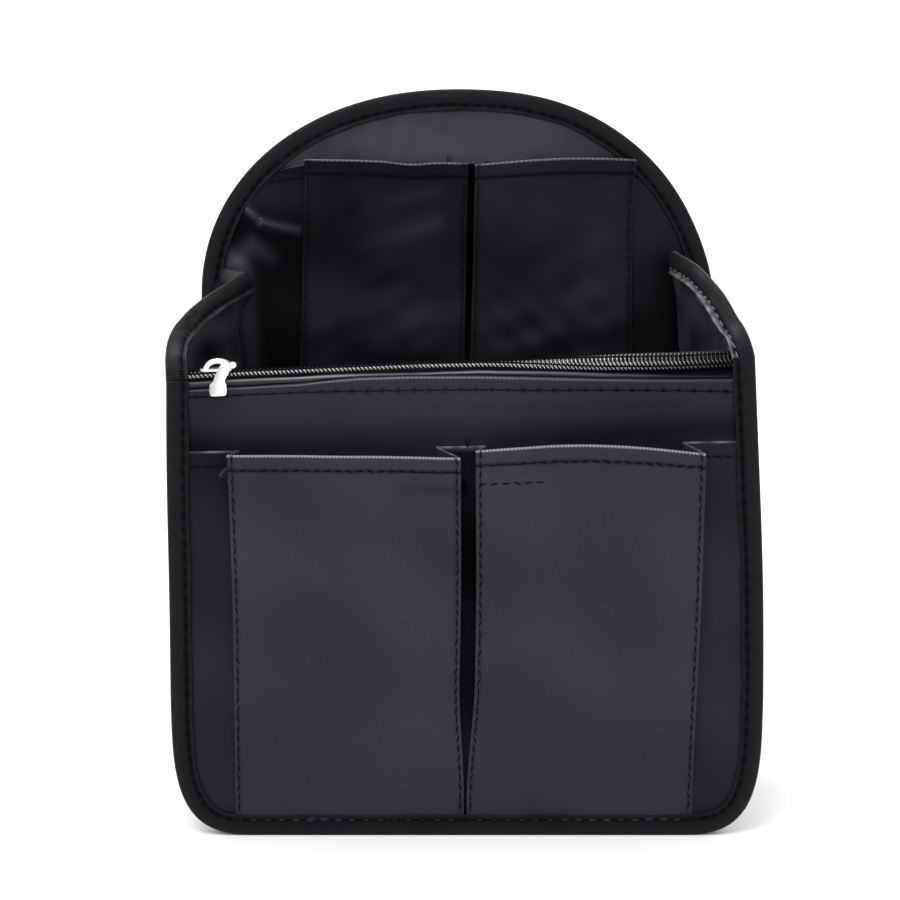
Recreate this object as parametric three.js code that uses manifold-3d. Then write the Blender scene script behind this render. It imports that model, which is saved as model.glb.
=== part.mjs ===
// Organiser insert for a small backpack. Two stiffened cloth panels with bound edges stand apart,
// joined by a soft folded wall at each side and a bottom wall. The front panel carries a zip pocket
// and two pleated pockets. The taller arched back panel carries two more on its inner face.
// Sizes are in millimetres, X runs to the right, Y to the rear and Z up.

import * as THREE from 'three';
import { mergeVertices } from 'three/addons/utils/BufferGeometryUtils.js';
import Module from 'manifold-3d';

const wasm = await Module();
wasm.setup();

// Outer shape of the two panels
const baseWidth = 208;
const taperLoss = 6.3;
const shoulderHeight = 183;
const archRise = 79.5;
const backHeight = shoulderHeight + archRise;
const frontHeight = 172;
const overallDepth = 87;
const cornerRadius = 24;
const taperExponent = 2.5;
const archExponent = 2.1;

// The organiser slouches a little as it stands: it leans to the left by a share of the height,
// and its right side stands taller by a share of the half width, up to the side walls' crease,
// from which that fades out towards the back panel, whose arch stands level
const leanShare = 0.018;
const riseShare = 0.027;

// Layers and the seams that hold them
const clothThickness = 0.4;
const tapeThickness = 0.4;
const boardThickness = 1;
const seamGap = 0.25;
const bindingLeg = 8;
const tuckUnderBinding = 4;
const boardMargin = 1.5;

// Heights of the zip and of the front panel's layers, which end below it
const chainBelowEdge = 5.5;
const chainHeight = frontHeight - chainBelowEdge;
const coverBelowChain = 6.5;
const clothBelowChain = 7;
const boardBelowChain = 9;
const coverTop = chainHeight - coverBelowChain;
const pocketBackTop = chainHeight - clothBelowChain;
const liningTop = chainHeight - clothBelowChain;
const frontBoardTop = chainHeight - boardBelowChain;

// Side walls: each folds inwards along a crease, flares at its front top corner, and its top edge
// climbs from front to rear
const creaseDepth = 10;
const creaseFromFront = 54;
const wallBelowEdge = 1;
const creaseAboveShoulder = 16.5;
const wallAboveShoulder = 13;
const wallFrontTop = frontHeight - wallBelowEdge;
const wallCreaseTop = shoulderHeight + creaseAboveShoulder;
const wallBackTop = shoulderHeight + wallAboveShoulder;
const wallBulgeExponent = 1.35;
const wallClimbExponent = 0.62;
const creaseFadeExponent = 2.2;
const wallLineShares = [0.3, 0.65, 1];
const wallFlareShares = [1, 0.35, 0];
const wallFlare = 4.3;
const flareFadeExponent = 4;
const sideTapeEndGap = 1;
const sideTapeGap = 0.4;

// Pleated pocket bands
const frontPocket = {
  belowEdge: 33.5,
  centre: 0,
  slitHalf: 2.4,
  strip: 20,
  pleat: 8,
  bulge: 8.5,
  droop: 2.5,
};
const backPocket = {
  belowEdge: 29,
  centre: 3,
  slitHalf: 1,
  strip: 18,
  pleat: 5,
  bulge: 6,
  droop: 1.5,
};
const bandFootHeight = 5.5;
const pleatFlatStep = 0.8;
const pleatStartHeight = 3.5;
const pleatStartShare = 0.15;
const faceShares = [0.12, 0.5, 0.88];
const faceCrown = 0.8;

// Zip: a coil chain that lies across the top of the front panel, rolled towards the front
const chainFromFront = 4.6;
const chainTilt = THREE.MathUtils.degToRad(40);
const coilThickness = 2.2;
const coilHalfWidth = 2.8;
const toothPitch = 1.4;
const toothDepth = 1.2;
const toothGap = 0.3;
const chainEndGap = 2.6;
const rowParting = 1.3;
const zipTapeWidth = 12;
const zipTapeSink = 0.3;
const tapeBendBelowChain = 5.8;
const zipTapeBendHeight = chainHeight - tapeBendBelowChain;

// Slider: two plates joined by a wedge between the parted rows
const sliderFromEnd = 7.2;
const sliderLength = 11;
const sliderClearance = 0.3;
const sliderPlate = 1;
const sliderFlange = 0.7;
const sliderTapeSlot = 1.2;
const wedgeLength = 2.6;
const wedgeInset = 1.2;
const wedgeGap = 0.25;

// Crown on the slider, and the pull tab that hangs from it by a rolled eye
const crownBarHeight = 2.8;
const crownBarThickness = 1.1;
const crownWidth = 1.8;
const crownSpan = 9;
const crownBarSpan = 7;
const crownLegThickness = 1;
const crownSeatGap = 0.3;
const eyeClearance = 0.35;
const eyeWall = 0.8;
const eyeLength = 4.6;
const tabLength = 11.4;
const tabWaistWidth = 4.2;
const tabBlockWidth = 5.8;
const tabNeckLength = 4.6;
const tabWaistLength = 1.4;
const tabCornerShare = 0.2;
const tabHang = THREE.MathUtils.degToRad(9);

// How finely curves are drawn
const cornerSteps = 6;
const sideSteps = 6;
const archSteps = 12;
const wallSteps = 7;
const pocketSteps = 6;
const eyeSteps = 14;

// One overrun serves every cut
const cutOverrun = 1;

// Lays layers one behind the other, with the seam gap between them
function stackLayers(front, layers) {
  const stack = {};
  let near = front;
  for (const [name, thickness] of layers) {
    const far = near + thickness;
    stack[name] = { near, far, middle: (near + far) / 2 };
    near = far + seamGap;
  }
  return stack;
}

const frontStack = stackLayers(0, [
  ['outerLeg', tapeThickness],
  ['pocketBand', clothThickness],
  ['cover', clothThickness],
  ['zipTapeFront', tapeThickness],
  ['pocketBack', clothThickness],
  ['board', boardThickness],
  ['zipTapeBack', tapeThickness],
  ['lining', clothThickness],
  ['flange', clothThickness],
  ['innerLeg', tapeThickness],
]);

const backLayers = [
  ['innerLeg', tapeThickness],
  ['flange', clothThickness],
  ['pocketBand', clothThickness],
  ['lining', clothThickness],
  ['board', boardThickness],
  ['cover', clothThickness],
  ['outerLeg', tapeThickness],
];
const backThickness = stackLayers(0, backLayers).outerLeg.far;
const backStack = stackLayers(overallDepth - backThickness, backLayers);

// Distances in from the bound edge
const layerInset = tapeThickness + seamGap;
const wallInset = bindingLeg + seamGap + clothThickness / 2;
const flangeReach = wallInset - layerInset;

// Half width of the panels at a height: a slight taper up to the shoulder, then the arch
function halfWidthAt(height) {
  const share = Math.min(height / shoulderHeight, 1);
  const tapered = baseWidth / 2 - taperLoss * share ** taperExponent;
  const archShare = Math.max(height - shoulderHeight, 0) / archRise;
  return tapered * (1 - archShare ** archExponent) ** (1 / archExponent);
}

// A point on the rounded bottom corner, from below at 0 to the side at a quarter turn
function cornerPoint(angle, insetBy) {
  const radius = cornerRadius - insetBy;
  const centreX = halfWidthAt(cornerRadius) - cornerRadius;
  const x = centreX + radius * Math.sin(angle);
  return new THREE.Vector2(x, cornerRadius - radius * Math.cos(angle));
}

// Right edge of a panel, from its bottom corner up to a height
function rightEdge(topHeight) {
  const points = [];
  for (let step = 0; step <= cornerSteps; step += 1) {
    points.push(cornerPoint((Math.PI / 2) * (step / cornerSteps), 0));
  }
  for (let step = 1; step <= sideSteps; step += 1) {
    const height = THREE.MathUtils.lerp(cornerRadius, topHeight, step / sideSteps);
    points.push(new THREE.Vector2(halfWidthAt(height), height));
  }
  return points;
}

// Right half of the arch, from the shoulder to just short of its middle
function rightArch() {
  const points = [];
  for (let step = 1; step < archSteps; step += 1) {
    const angle = (Math.PI / 2) * (step / archSteps);
    const x = halfWidthAt(shoulderHeight) * Math.cos(angle) ** (2 / archExponent);
    const height = shoulderHeight + archRise * Math.sin(angle) ** (2 / archExponent);
    points.push(new THREE.Vector2(x, height));
  }
  return points;
}

function mirrored(points) {
  return points.map((point) => new THREE.Vector2(-point.x, point.y)).reverse();
}

// Open path round the front panel, from its left top down and round to its right top
function frontPath(topHeight) {
  const right = rightEdge(topHeight);
  return [...mirrored(right), ...right];
}

// Closed path round the back panel
function backPath() {
  const right = [...rightEdge(shoulderHeight), ...rightArch()];
  return [...right, new THREE.Vector2(0, backHeight), ...mirrored(right)];
}

// Moves a path to its left by a distance, with mitred corners
function insetPath(path, distance, closed) {
  const count = path.length;
  return path.map((point, index) => {
    const before = path[closed ? (index + count - 1) % count : Math.max(index - 1, 0)];
    const after = path[closed ? (index + 1) % count : Math.min(index + 1, count - 1)];
    const normals = [];
    for (const [start, end] of [[before, point], [point, after]]) {
      const along = end.clone().sub(start);
      if (along.lengthSq() > 0) {
        normals.push(new THREE.Vector2(-along.y, along.x).normalize());
      }
    }
    const first = normals[0];
    const last = normals[normals.length - 1];
    const mitre = first.clone().add(last).divideScalar(1 + first.dot(last));
    return point.clone().addScaledVector(mitre, distance);
  });
}

// Half width of an inset path at a height, measured on its right side
function pathWidthAt(path, height) {
  for (let index = 1; index < path.length; index += 1) {
    const lower = path[index - 1];
    const upper = path[index];
    const spans = lower.x > 0 && upper.x > 0 && lower.y <= height && upper.y >= height;
    if (spans && upper.y > lower.y) {
      const share = (height - lower.y) / (upper.y - lower.y);
      return THREE.MathUtils.lerp(lower.x, upper.x, share);
    }
  }
  return 0;
}

// A flat piece of an upright outline that fills one layer of a stack
function slab(outline, near, far, hole) {
  const shape = new THREE.Shape(outline);
  if (hole) {
    shape.holes.push(new THREE.Path(hole));
  }
  const geometry = new THREE.ExtrudeGeometry(shape, { depth: far - near, bevelEnabled: false });
  geometry.rotateX(Math.PI / 2);
  geometry.translate(0, far, 0);
  return geometry;
}

// A profile drawn in Y and Z and drawn out along X
function railing(profile, left, right, hole) {
  const shape = new THREE.Shape(profile);
  if (hole) {
    shape.holes.push(new THREE.Path(hole));
  }
  const geometry = new THREE.ExtrudeGeometry(shape, { depth: right - left, bevelEnabled: false });
  const toUpright = new THREE.Matrix4().makeBasis(
    new THREE.Vector3(0, 1, 0),
    new THREE.Vector3(0, 0, 1),
    new THREE.Vector3(1, 0, 0),
  );
  geometry.applyMatrix4(toUpright);
  geometry.translate(left, 0, 0);
  return geometry;
}

// Joins the shared corners of a closed geometry, so that it can be cut or joined
function toSolid(geometry) {
  const bare = geometry.clone();
  bare.deleteAttribute('normal');
  bare.deleteAttribute('uv');
  const merged = mergeVertices(bare);
  const mesh = new wasm.Mesh({
    numProp: 3,
    vertProperties: new Float32Array(merged.attributes.position.array),
    triVerts: new Uint32Array(merged.index.array),
  });
  return new wasm.Manifold(mesh);
}

function toGeometry(solid) {
  const mesh = solid.getMesh();
  const geometry = new THREE.BufferGeometry();
  const positions = new THREE.BufferAttribute(new Float32Array(mesh.vertProperties), 3);
  geometry.setAttribute('position', positions);
  geometry.setIndex(new THREE.BufferAttribute(new Uint32Array(mesh.triVerts), 1));
  return geometry;
}

function signedVolume(positions, triangles) {
  let sum = 0;
  for (const [a, b, c] of triangles) {
    sum += positions[a].dot(new THREE.Vector3().crossVectors(positions[b], positions[c]));
  }
  return sum;
}

// Mitred normal of a cloth grid at one of its points
function gridNormal(grid, row, column) {
  const lower = grid[Math.max(row - 1, 0)][column];
  const upper = grid[Math.min(row + 1, grid.length - 1)][column];
  const up = upper.clone().sub(lower);
  const line = grid[row];
  const normals = [];
  for (const start of [column - 1, column]) {
    if (start >= 0 && start + 1 < line.length) {
      const along = line[start + 1].clone().sub(line[start]);
      normals.push(new THREE.Vector3().crossVectors(up, along).normalize());
    }
  }
  const first = normals[0];
  const last = normals[normals.length - 1];
  return first.clone().add(last).divideScalar(1 + first.dot(last));
}

// Closed sheet of even thickness round a grid of points, whose rows may be folded
function sheet(grid, thickness) {
  const rows = grid.length;
  const columns = grid[0].length;
  const faces = [[], []];
  for (let row = 0; row < rows; row += 1) {
    for (let column = 0; column < columns; column += 1) {
      const normal = gridNormal(grid, row, column);
      faces[0].push(grid[row][column].clone().addScaledVector(normal, thickness / 2));
      faces[1].push(grid[row][column].clone().addScaledVector(normal, -thickness / 2));
    }
  }
  const positions = [...faces[0], ...faces[1]];
  const triangles = [];
  const quad = (a, b, c, d) => triangles.push([a, b, c], [a, c, d]);
  const near = (row, column) => row * columns + column;
  const far = (row, column) => near(row, column) + rows * columns;
  for (let row = 0; row + 1 < rows; row += 1) {
    for (let column = 0; column + 1 < columns; column += 1) {
      quad(near(row, column), near(row, column + 1), near(row + 1, column + 1), near(row + 1, column));
      quad(far(row, column), far(row + 1, column), far(row + 1, column + 1), far(row, column + 1));
    }
    const end = columns - 1;
    quad(near(row, 0), near(row + 1, 0), far(row + 1, 0), far(row, 0));
    quad(near(row, end), far(row, end), far(row + 1, end), near(row + 1, end));
  }
  for (let column = 0; column + 1 < columns; column += 1) {
    const end = rows - 1;
    quad(near(0, column), far(0, column), far(0, column + 1), near(0, column + 1));
    quad(near(end, column), near(end, column + 1), far(end, column + 1), far(end, column));
  }
  if (signedVolume(positions, triangles) < 0) {
    triangles.forEach((triangle) => triangle.reverse());
  }
  const geometry = new THREE.BufferGeometry().setFromPoints(positions);
  geometry.setIndex(triangles.flat());
  return geometry;
}

// Share of the slouch's rise that is left at a distance from the front face
function riseLeftAt(depth) {
  const crease = frontStack.flange.middle + creaseFromFront;
  const share = THREE.MathUtils.inverseLerp(crease, backStack.innerLeg.near, depth);
  return 1 - THREE.MathUtils.clamp(share, 0, 1);
}

// The slouch moves points within the upright planes only, so layers keep their thickness
function slouchedPoint(point) {
  const rise = 1 + (riseShare * riseLeftAt(point.y) * point.x) / (baseWidth / 2);
  return new THREE.Vector3(point.x - leanShare * point.z, point.y, point.z * rise);
}

function slouched(geometry) {
  const positions = geometry.attributes.position;
  const point = new THREE.Vector3();
  for (let index = 0; index < positions.count; index += 1) {
    point.fromBufferAttribute(positions, index);
    positions.setXYZ(index, ...slouchedPoint(point));
  }
  return geometry;
}

// Finishes
const finishes = {
  shell: { color: 0x38363d, roughness: 0.62, metalness: 0 },
  lining: { color: 0x24232b, roughness: 0.6, metalness: 0 },
  board: { color: 0x8a8a86, roughness: 0.9, metalness: 0 },
  tape: { color: 0x1a1a19, roughness: 0.75, metalness: 0 },
  coil: { color: 0x141414, roughness: 0.35, metalness: 0 },
  nickel: { color: 0xd9d7d2, roughness: 0.2, metalness: 1 },
};

function piece(name, geometry, finish) {
  const mesh = new THREE.Mesh(geometry, new THREE.MeshStandardMaterial(finishes[finish]));
  mesh.name = name;
  return mesh;
}

// One layer of the front panel, cut straight across at its own top
function frontLayer(layer, insetBy, topHeight) {
  const outline = insetPath(frontPath(topHeight), insetBy, false);
  return slouched(slab(outline, layer.near, layer.far));
}

function backLayer(layer, insetBy) {
  return slouched(slab(insetPath(backPath(), insetBy, true), layer.near, layer.far));
}

// Tape folded round the edge of the front panel: a channel open towards the middle
function frontBinding() {
  const path = frontPath(frontHeight);
  const outline = [...path, ...insetPath(path, bindingLeg, false).reverse()];
  const outer = slab(outline, frontStack.outerLeg.near, frontStack.innerLeg.far);
  const slotPath = insetPath(frontPath(frontHeight + cutOverrun), tapeThickness, false);
  const slot = slab(slotPath, frontStack.outerLeg.far, frontStack.innerLeg.near);
  return slouched(toGeometry(toSolid(outer).subtract(toSolid(slot))));
}

function backBinding() {
  const path = backPath();
  const hole = insetPath(path, bindingLeg, true);
  const outer = slab(path, backStack.innerLeg.near, backStack.outerLeg.far, hole);
  const slotPath = insetPath(path, tapeThickness, true);
  const slot = slab(slotPath, backStack.innerLeg.far, backStack.outerLeg.near);
  return slouched(toGeometry(toSolid(outer).subtract(toSolid(slot))));
}

// Points across a pocket band at one height: flat strip, pleat, face and pleat to the middle strip
function bandHalf(pocket, faceHalf, layer, height, open, edge) {
  const out = layer.middle - pocket.bulge * open;
  const shift = (pocket.pleat + pleatFlatStep) * open - pleatFlatStep;
  const drop = pocket.droop * open;
  const points = [new THREE.Vector3(pocket.slitHalf + shift, layer.middle, height)];
  points.push(new THREE.Vector3(pocket.slitHalf, out, height - drop));
  for (const share of faceShares) {
    const x = THREE.MathUtils.lerp(pocket.slitHalf, faceHalf, share);
    const crown = faceCrown * open * Math.sin(Math.PI * share);
    points.push(new THREE.Vector3(x, out - crown, height - drop));
  }
  points.push(new THREE.Vector3(faceHalf, out, height - drop));
  points.push(new THREE.Vector3(faceHalf - shift, layer.middle, height));
  points.push(new THREE.Vector3(edge, layer.middle, height));
  return points;
}

// A pleated band, flat under the binding at its foot and standing open at its top
function pocketBand(pocket, panelHeight, layer, path) {
  const top = panelHeight - pocket.belowEdge;
  const faceHalf = halfWidthAt(top) - pocket.strip;
  const footHeight = wallInset + clothThickness + seamGap;
  const startHeight = footHeight + pleatStartHeight;
  const rows = [
    [bandFootHeight, 0],
    [footHeight, 0],
  ];
  for (let step = 0; step <= pocketSteps; step += 1) {
    const share = step / pocketSteps;
    const open = THREE.MathUtils.lerp(pleatStartShare, 1, share);
    rows.push([THREE.MathUtils.lerp(startHeight, top, share), open]);
  }
  const grid = rows.map(([height, open]) => {
    const edge = pathWidthAt(path, height);
    const right = bandHalf(pocket, faceHalf, layer, height, open, edge - pocket.centre);
    const left = bandHalf(pocket, faceHalf, layer, height, open, edge + pocket.centre).reverse();
    left.forEach((point) => point.setX(-point.x));
    const line = [...left, ...right];
    line.forEach((point) => point.setX(point.x + pocket.centre));
    return line;
  });
  return slouched(sheet(grid, clothThickness));
}

// Lines that run up a side wall, given from front to rear
function wallLines() {
  const front = frontStack.flange.middle;
  const back = backStack.flange.middle;
  const crease = front + creaseFromFront;
  const lines = [
    { y: front, reach: flangeReach, fold: 0, flare: 0, top: wallFrontTop },
    { y: front, reach: 0, fold: 0, flare: 0, top: wallFrontTop },
  ];
  for (const [index, share] of wallLineShares.entries()) {
    lines.push({
      y: THREE.MathUtils.lerp(front, crease, share),
      reach: 0,
      fold: share ** wallBulgeExponent,
      flare: wallFlareShares[index],
      top: THREE.MathUtils.lerp(wallFrontTop, wallCreaseTop, share ** wallClimbExponent),
    });
  }
  const halfway = (crease + back) / 2;
  lines.push({ y: halfway, reach: 0, fold: 1 / 2, flare: 0, top: (wallCreaseTop + wallBackTop) / 2 });
  lines.push({ y: back, reach: 0, fold: 0, flare: 0, top: wallBackTop });
  lines.push({ y: back, reach: flangeReach, fold: 0, flare: 0, top: wallBackTop });
  return lines;
}

// A point of the right side wall on one of its lines, by the share of the way up
function wallPoint(line, share) {
  const height = THREE.MathUtils.lerp(cornerRadius, line.top, share);
  const fade = 1 - (1 - height / line.top) ** creaseFadeExponent;
  const flare = wallFlare * line.flare * (height / line.top) ** flareFadeExponent;
  const x = halfWidthAt(height) - wallInset + line.reach - creaseDepth * line.fold * fade;
  return new THREE.Vector3(x + flare, line.y, height);
}

// A point of the same wall where it rounds the bottom corner
function wallCornerPoint(line, angle) {
  const point = cornerPoint(angle, wallInset - line.reach);
  const fade = 1 - (1 - point.y / line.top) ** creaseFadeExponent;
  const fold = creaseDepth * line.fold * fade * Math.sin(angle);
  return new THREE.Vector3(point.x - fold, line.y, point.y);
}

function mirroredGrid(grid, side) {
  return grid.map((line) => line.map((point) => point.clone().setX(point.x * side)));
}

// Share of a side wall's height that lies inside its tape
const tapedShare = (bindingLeg + layerInset) / (wallFrontTop - cornerRadius);

function sideWall(side) {
  const lines = wallLines();
  const grid = [];
  for (let step = 0; step < cornerSteps; step += 1) {
    const angle = (Math.PI / 2) * (step / cornerSteps);
    grid.push(lines.map((line) => wallCornerPoint(line, angle)));
  }
  for (let step = 0; step <= wallSteps; step += 1) {
    grid.push(lines.map((line) => wallPoint(line, (1 - tapedShare) * (step / wallSteps))));
  }
  grid.push(lines.map((line) => wallPoint(line, 1)));
  return slouched(sheet(mirroredGrid(grid, side), clothThickness));
}

// Tape folded over the top edge of a side wall, between the two panels' bindings
function sideTopBinding(side) {
  const lines = wallLines().filter((line) => line.reach === 0);
  const foldHalf = clothThickness / 2 + sideTapeGap + tapeThickness / 2;
  const first = lines[0];
  const last = lines[lines.length - 1];
  const frontLimit = frontStack.innerLeg.far + sideTapeEndGap;
  const backLimit = backStack.innerLeg.near - sideTapeEndGap;
  const trimmed = [
    trimLine(first, lines[1], frontLimit),
    ...lines.slice(1, -1),
    trimLine(last, lines[lines.length - 2], backLimit),
  ];
  const grid = trimmed.map((line, index) => {
    const top = wallPoint(line, 1);
    const foot = wallPoint(line, 1 - tapedShare);
    const before = wallPoint(trimmed[Math.max(index - 1, 0)], 1);
    const after = wallPoint(trimmed[Math.min(index + 1, trimmed.length - 1)], 1);
    const down = foot.clone().sub(top).normalize();
    const along = after.clone().sub(before).normalize();
    const across = new THREE.Vector3().crossVectors(along, down).normalize();
    const offset = (outwards, downwards) =>
      top.clone().addScaledVector(across, outwards).addScaledVector(down, downwards);
    return [
      offset(foldHalf, bindingLeg),
      offset(foldHalf, -foldHalf),
      offset(-foldHalf, -foldHalf),
      offset(-foldHalf, bindingLeg),
    ];
  });
  return slouched(sheet(mirroredGrid(grid, side), tapeThickness));
}

// A line of a side wall moved to a new depth, part of the way to its neighbour
function trimLine(line, neighbour, y) {
  const share = (y - line.y) / (neighbour.y - line.y);
  return {
    y,
    reach: 0,
    fold: THREE.MathUtils.lerp(line.fold, neighbour.fold, share),
    flare: THREE.MathUtils.lerp(line.flare, neighbour.flare, share),
    top: THREE.MathUtils.lerp(line.top, neighbour.top, share),
  };
}

// Closed profile of a ribbon of even thickness along a line of points in one plane
function ribbon(points, thickness) {
  const left = insetPath(points, thickness / 2, false);
  const right = insetPath(points, -thickness / 2, false);
  return [...right, ...left.reverse()];
}

// Bottom wall, turned down at the front and rear into the bindings
function bottomWall() {
  const front = frontStack.flange.middle;
  const back = backStack.flange.middle;
  const profile = ribbon(
    [
      new THREE.Vector2(front, layerInset),
      new THREE.Vector2(front, wallInset),
      new THREE.Vector2(back, wallInset),
      new THREE.Vector2(back, layerInset),
    ],
    clothThickness,
  );
  const half = cornerPoint(0, wallInset).x - seamGap;
  return slouched(railing(profile, -half, half));
}

// Zip chain: its rows, and the ends where they run into the bindings
const chainHalfLength = halfWidthAt(chainHeight) - bindingLeg - chainEndGap;
const sliderX = sliderFromEnd - chainHalfLength;

// How far each row stands off the middle of the chain, which is closed right of the slider
function partingAt(x) {
  const closedFrom = sliderX + sliderLength / 2 - sliderFlange;
  const share = (closedFrom - x) / (sliderLength - sliderFlange);
  return rowParting * THREE.MathUtils.smoothstep(share, 0, 1);
}

// One row of coil, as a comb whose teeth reach past the middle of the chain
function coilRow(side) {
  const teeth = Math.floor((2 * chainHalfLength) / toothPitch);
  const outer = [];
  const inner = [];
  const phase = side < 0 ? 0 : 1;
  for (let step = 0; step <= 2 * teeth; step += 1) {
    const x = -chainHalfLength + (toothPitch / 2) * step;
    const reach = (step + phase) % 2 === 0 ? (toothDepth - toothGap) / 2 : -(toothDepth + toothGap) / 2;
    const parting = partingAt(x);
    inner.push(new THREE.Vector2(x, side * (parting - reach)));
    outer.push(new THREE.Vector2(x, side * (parting + coilHalfWidth)));
  }
  const ends = outer.filter((point) => partingAt(point.x) > 0);
  const backEdge = [...ends, outer[outer.length - 1]];
  const outline = side < 0 ? [...backEdge, ...inner.reverse()] : [...inner, ...backEdge.reverse()];
  const shape = new THREE.Shape(outline);
  const geometry = new THREE.ExtrudeGeometry(shape, { depth: coilThickness, bevelEnabled: false });
  geometry.translate(0, 0, -coilThickness / 2);
  geometry.rotateX(chainTilt);
  geometry.translate(0, chainFromFront, chainHeight);
  return slouched(geometry);
}

// Cross direction of the chain and its outward normal, in Y and Z
const chainAcross = new THREE.Vector2(Math.cos(chainTilt), Math.sin(chainTilt));
const chainNormal = new THREE.Vector2(-Math.sin(chainTilt), Math.cos(chainTilt));

// A point given across and out of the chain, as Y and Z
function chainPoint(across, out) {
  return new THREE.Vector2(chainFromFront, chainHeight)
    .addScaledVector(chainAcross, across)
    .addScaledVector(chainNormal, out);
}

// Half width of the slider where the rows are apart and where they have met
const sliderNarrow = coilHalfWidth + sliderClearance + sliderFlange;
const sliderWide = sliderNarrow + rowParting;
const sliderHalfInside = coilThickness / 2 + sliderClearance;
const sliderHalfHeight = sliderHalfInside + sliderPlate;

// Zip tape from its seam in the panel, round the slider's edge and in to the edge of its row
function zipTape(side, layer) {
  const halfTape = tapeThickness / 2;
  const rowEdge = rowParting + coilHalfWidth + sliderClearance + halfTape;
  const turn = sliderWide + sliderClearance + halfTape;
  const points = [
    new THREE.Vector2(layer.middle, chainHeight - zipTapeWidth),
    new THREE.Vector2(layer.middle, zipTapeBendHeight),
  ];
  if (side > 0) {
    points.push(chainPoint(turn, -(sliderHalfHeight + sliderClearance + halfTape)));
  }
  points.push(chainPoint(side * turn, -zipTapeSink), chainPoint(side * rowEdge, -zipTapeSink));
  return slouched(railing(ribbon(points, tapeThickness), -chainHalfLength, chainHalfLength));
}

// Outline of the slider along and across the chain: wide where the rows are apart
function sliderOutline(narrowHalf, wideHalf, endReach) {
  const half = sliderLength / 2;
  const upper = [
    new THREE.Vector2(half + endReach, narrowHalf),
    new THREE.Vector2(half / 2, narrowHalf),
    new THREE.Vector2(0, wideHalf),
    new THREE.Vector2(-half - endReach, wideHalf),
  ];
  return [...upper, ...upper.map((point) => new THREE.Vector2(point.x, -point.y)).reverse()];
}

// A flat piece of an outline in the chain's own plane, at even height above and below a level
function chainPlate(outline, halfThickness, level) {
  const depth = 2 * halfThickness;
  const shape = new THREE.Shape(outline);
  const geometry = new THREE.ExtrudeGeometry(shape, { depth, bevelEnabled: false });
  geometry.translate(0, 0, level - halfThickness);
  return toSolid(geometry);
}

// Room between the parted rows for the slider's wedge, at a place along the slider
function wedgeHalfAt(x) {
  return partingAt(sliderX + x) - (toothDepth - toothGap) / 2 - wedgeGap;
}

// Slider body: a block with a tunnel for the rows, a slot for the tapes, and the wedge
function sliderBody() {
  const block = chainPlate(sliderOutline(sliderNarrow, sliderWide, 0), sliderHalfHeight, 0);
  const tunnelOutline = sliderOutline(sliderNarrow - sliderFlange, sliderWide - sliderFlange, cutOverrun);
  const tunnel = chainPlate(tunnelOutline, sliderHalfInside, 0);
  const slotHalf = sliderWide + cutOverrun;
  const slotOutline = sliderOutline(slotHalf, slotHalf, cutOverrun);
  const slot = chainPlate(slotOutline, sliderTapeSlot / 2, -zipTapeSink);
  const wedgeStart = wedgeInset - sliderLength / 2;
  const wedgeEnd = wedgeStart + wedgeLength;
  const wedgeOutline = [
    new THREE.Vector2(wedgeStart, -wedgeHalfAt(wedgeStart)),
    new THREE.Vector2(wedgeEnd, -wedgeHalfAt(wedgeEnd)),
    new THREE.Vector2(wedgeEnd, wedgeHalfAt(wedgeEnd)),
    new THREE.Vector2(wedgeStart, wedgeHalfAt(wedgeStart)),
  ];
  const wedge = chainPlate(wedgeOutline, sliderHalfHeight - sliderPlate / 2, 0);
  return toGeometry(block.subtract(tunnel).subtract(slot).add(wedge));
}

// Crown: a bar held over the slider by a sloped leg at each end, drawn along and out of the chain
function sliderCrown() {
  const top = crownBarHeight + crownBarThickness / 2;
  const under = crownBarHeight - crownBarThickness / 2;
  const footHalf = crownSpan / 2;
  const barHalf = crownBarSpan / 2;
  const shape = new THREE.Shape([
    new THREE.Vector2(-footHalf, 0),
    new THREE.Vector2(crownLegThickness - footHalf, 0),
    new THREE.Vector2(crownLegThickness - barHalf, under),
    new THREE.Vector2(barHalf - crownLegThickness, under),
    new THREE.Vector2(footHalf - crownLegThickness, 0),
    new THREE.Vector2(footHalf, 0),
    new THREE.Vector2(barHalf, top),
    new THREE.Vector2(-barHalf, top),
  ]);
  const geometry = new THREE.ExtrudeGeometry(shape, { depth: crownWidth, bevelEnabled: false });
  geometry.rotateX(Math.PI / 2);
  geometry.translate(0, crownWidth / 2, 0);
  return geometry;
}

function circle(radius) {
  const points = [];
  for (let step = 0; step < eyeSteps; step += 1) {
    const angle = 2 * Math.PI * (step / eyeSteps);
    points.push(new THREE.Vector2(radius * Math.cos(angle), radius * Math.sin(angle)));
  }
  return points;
}

// Pull tab, hanging down from its eye: the eye is rolled round the crown's bar
function pullTab() {
  const eyeInner = Math.hypot(crownBarThickness, crownWidth) / 2 + eyeClearance;
  const eyeOuter = eyeInner + eyeWall;
  const eyeHalf = eyeLength / 2;
  const eye = railing(circle(eyeOuter), -eyeHalf, eyeHalf, circle(eyeInner));
  const waistHalf = tabWaistWidth / 2;
  const blockHalf = tabBlockWidth / 2;
  const blockTop = tabNeckLength + tabWaistLength;
  const corner = tabBlockWidth * tabCornerShare;
  const left = [
    new THREE.Vector2(-eyeHalf, 0),
    new THREE.Vector2(-waistHalf, -tabNeckLength),
    new THREE.Vector2(-waistHalf, -blockTop),
    new THREE.Vector2(-blockHalf, -blockTop - corner),
    new THREE.Vector2(-blockHalf, corner - tabLength),
    new THREE.Vector2(corner - blockHalf, -tabLength),
  ];
  const blade = slab([...left, ...mirrored(left)], -eyeOuter, -eyeInner);
  return toGeometry(toSolid(eye).add(toSolid(blade)));
}

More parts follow.
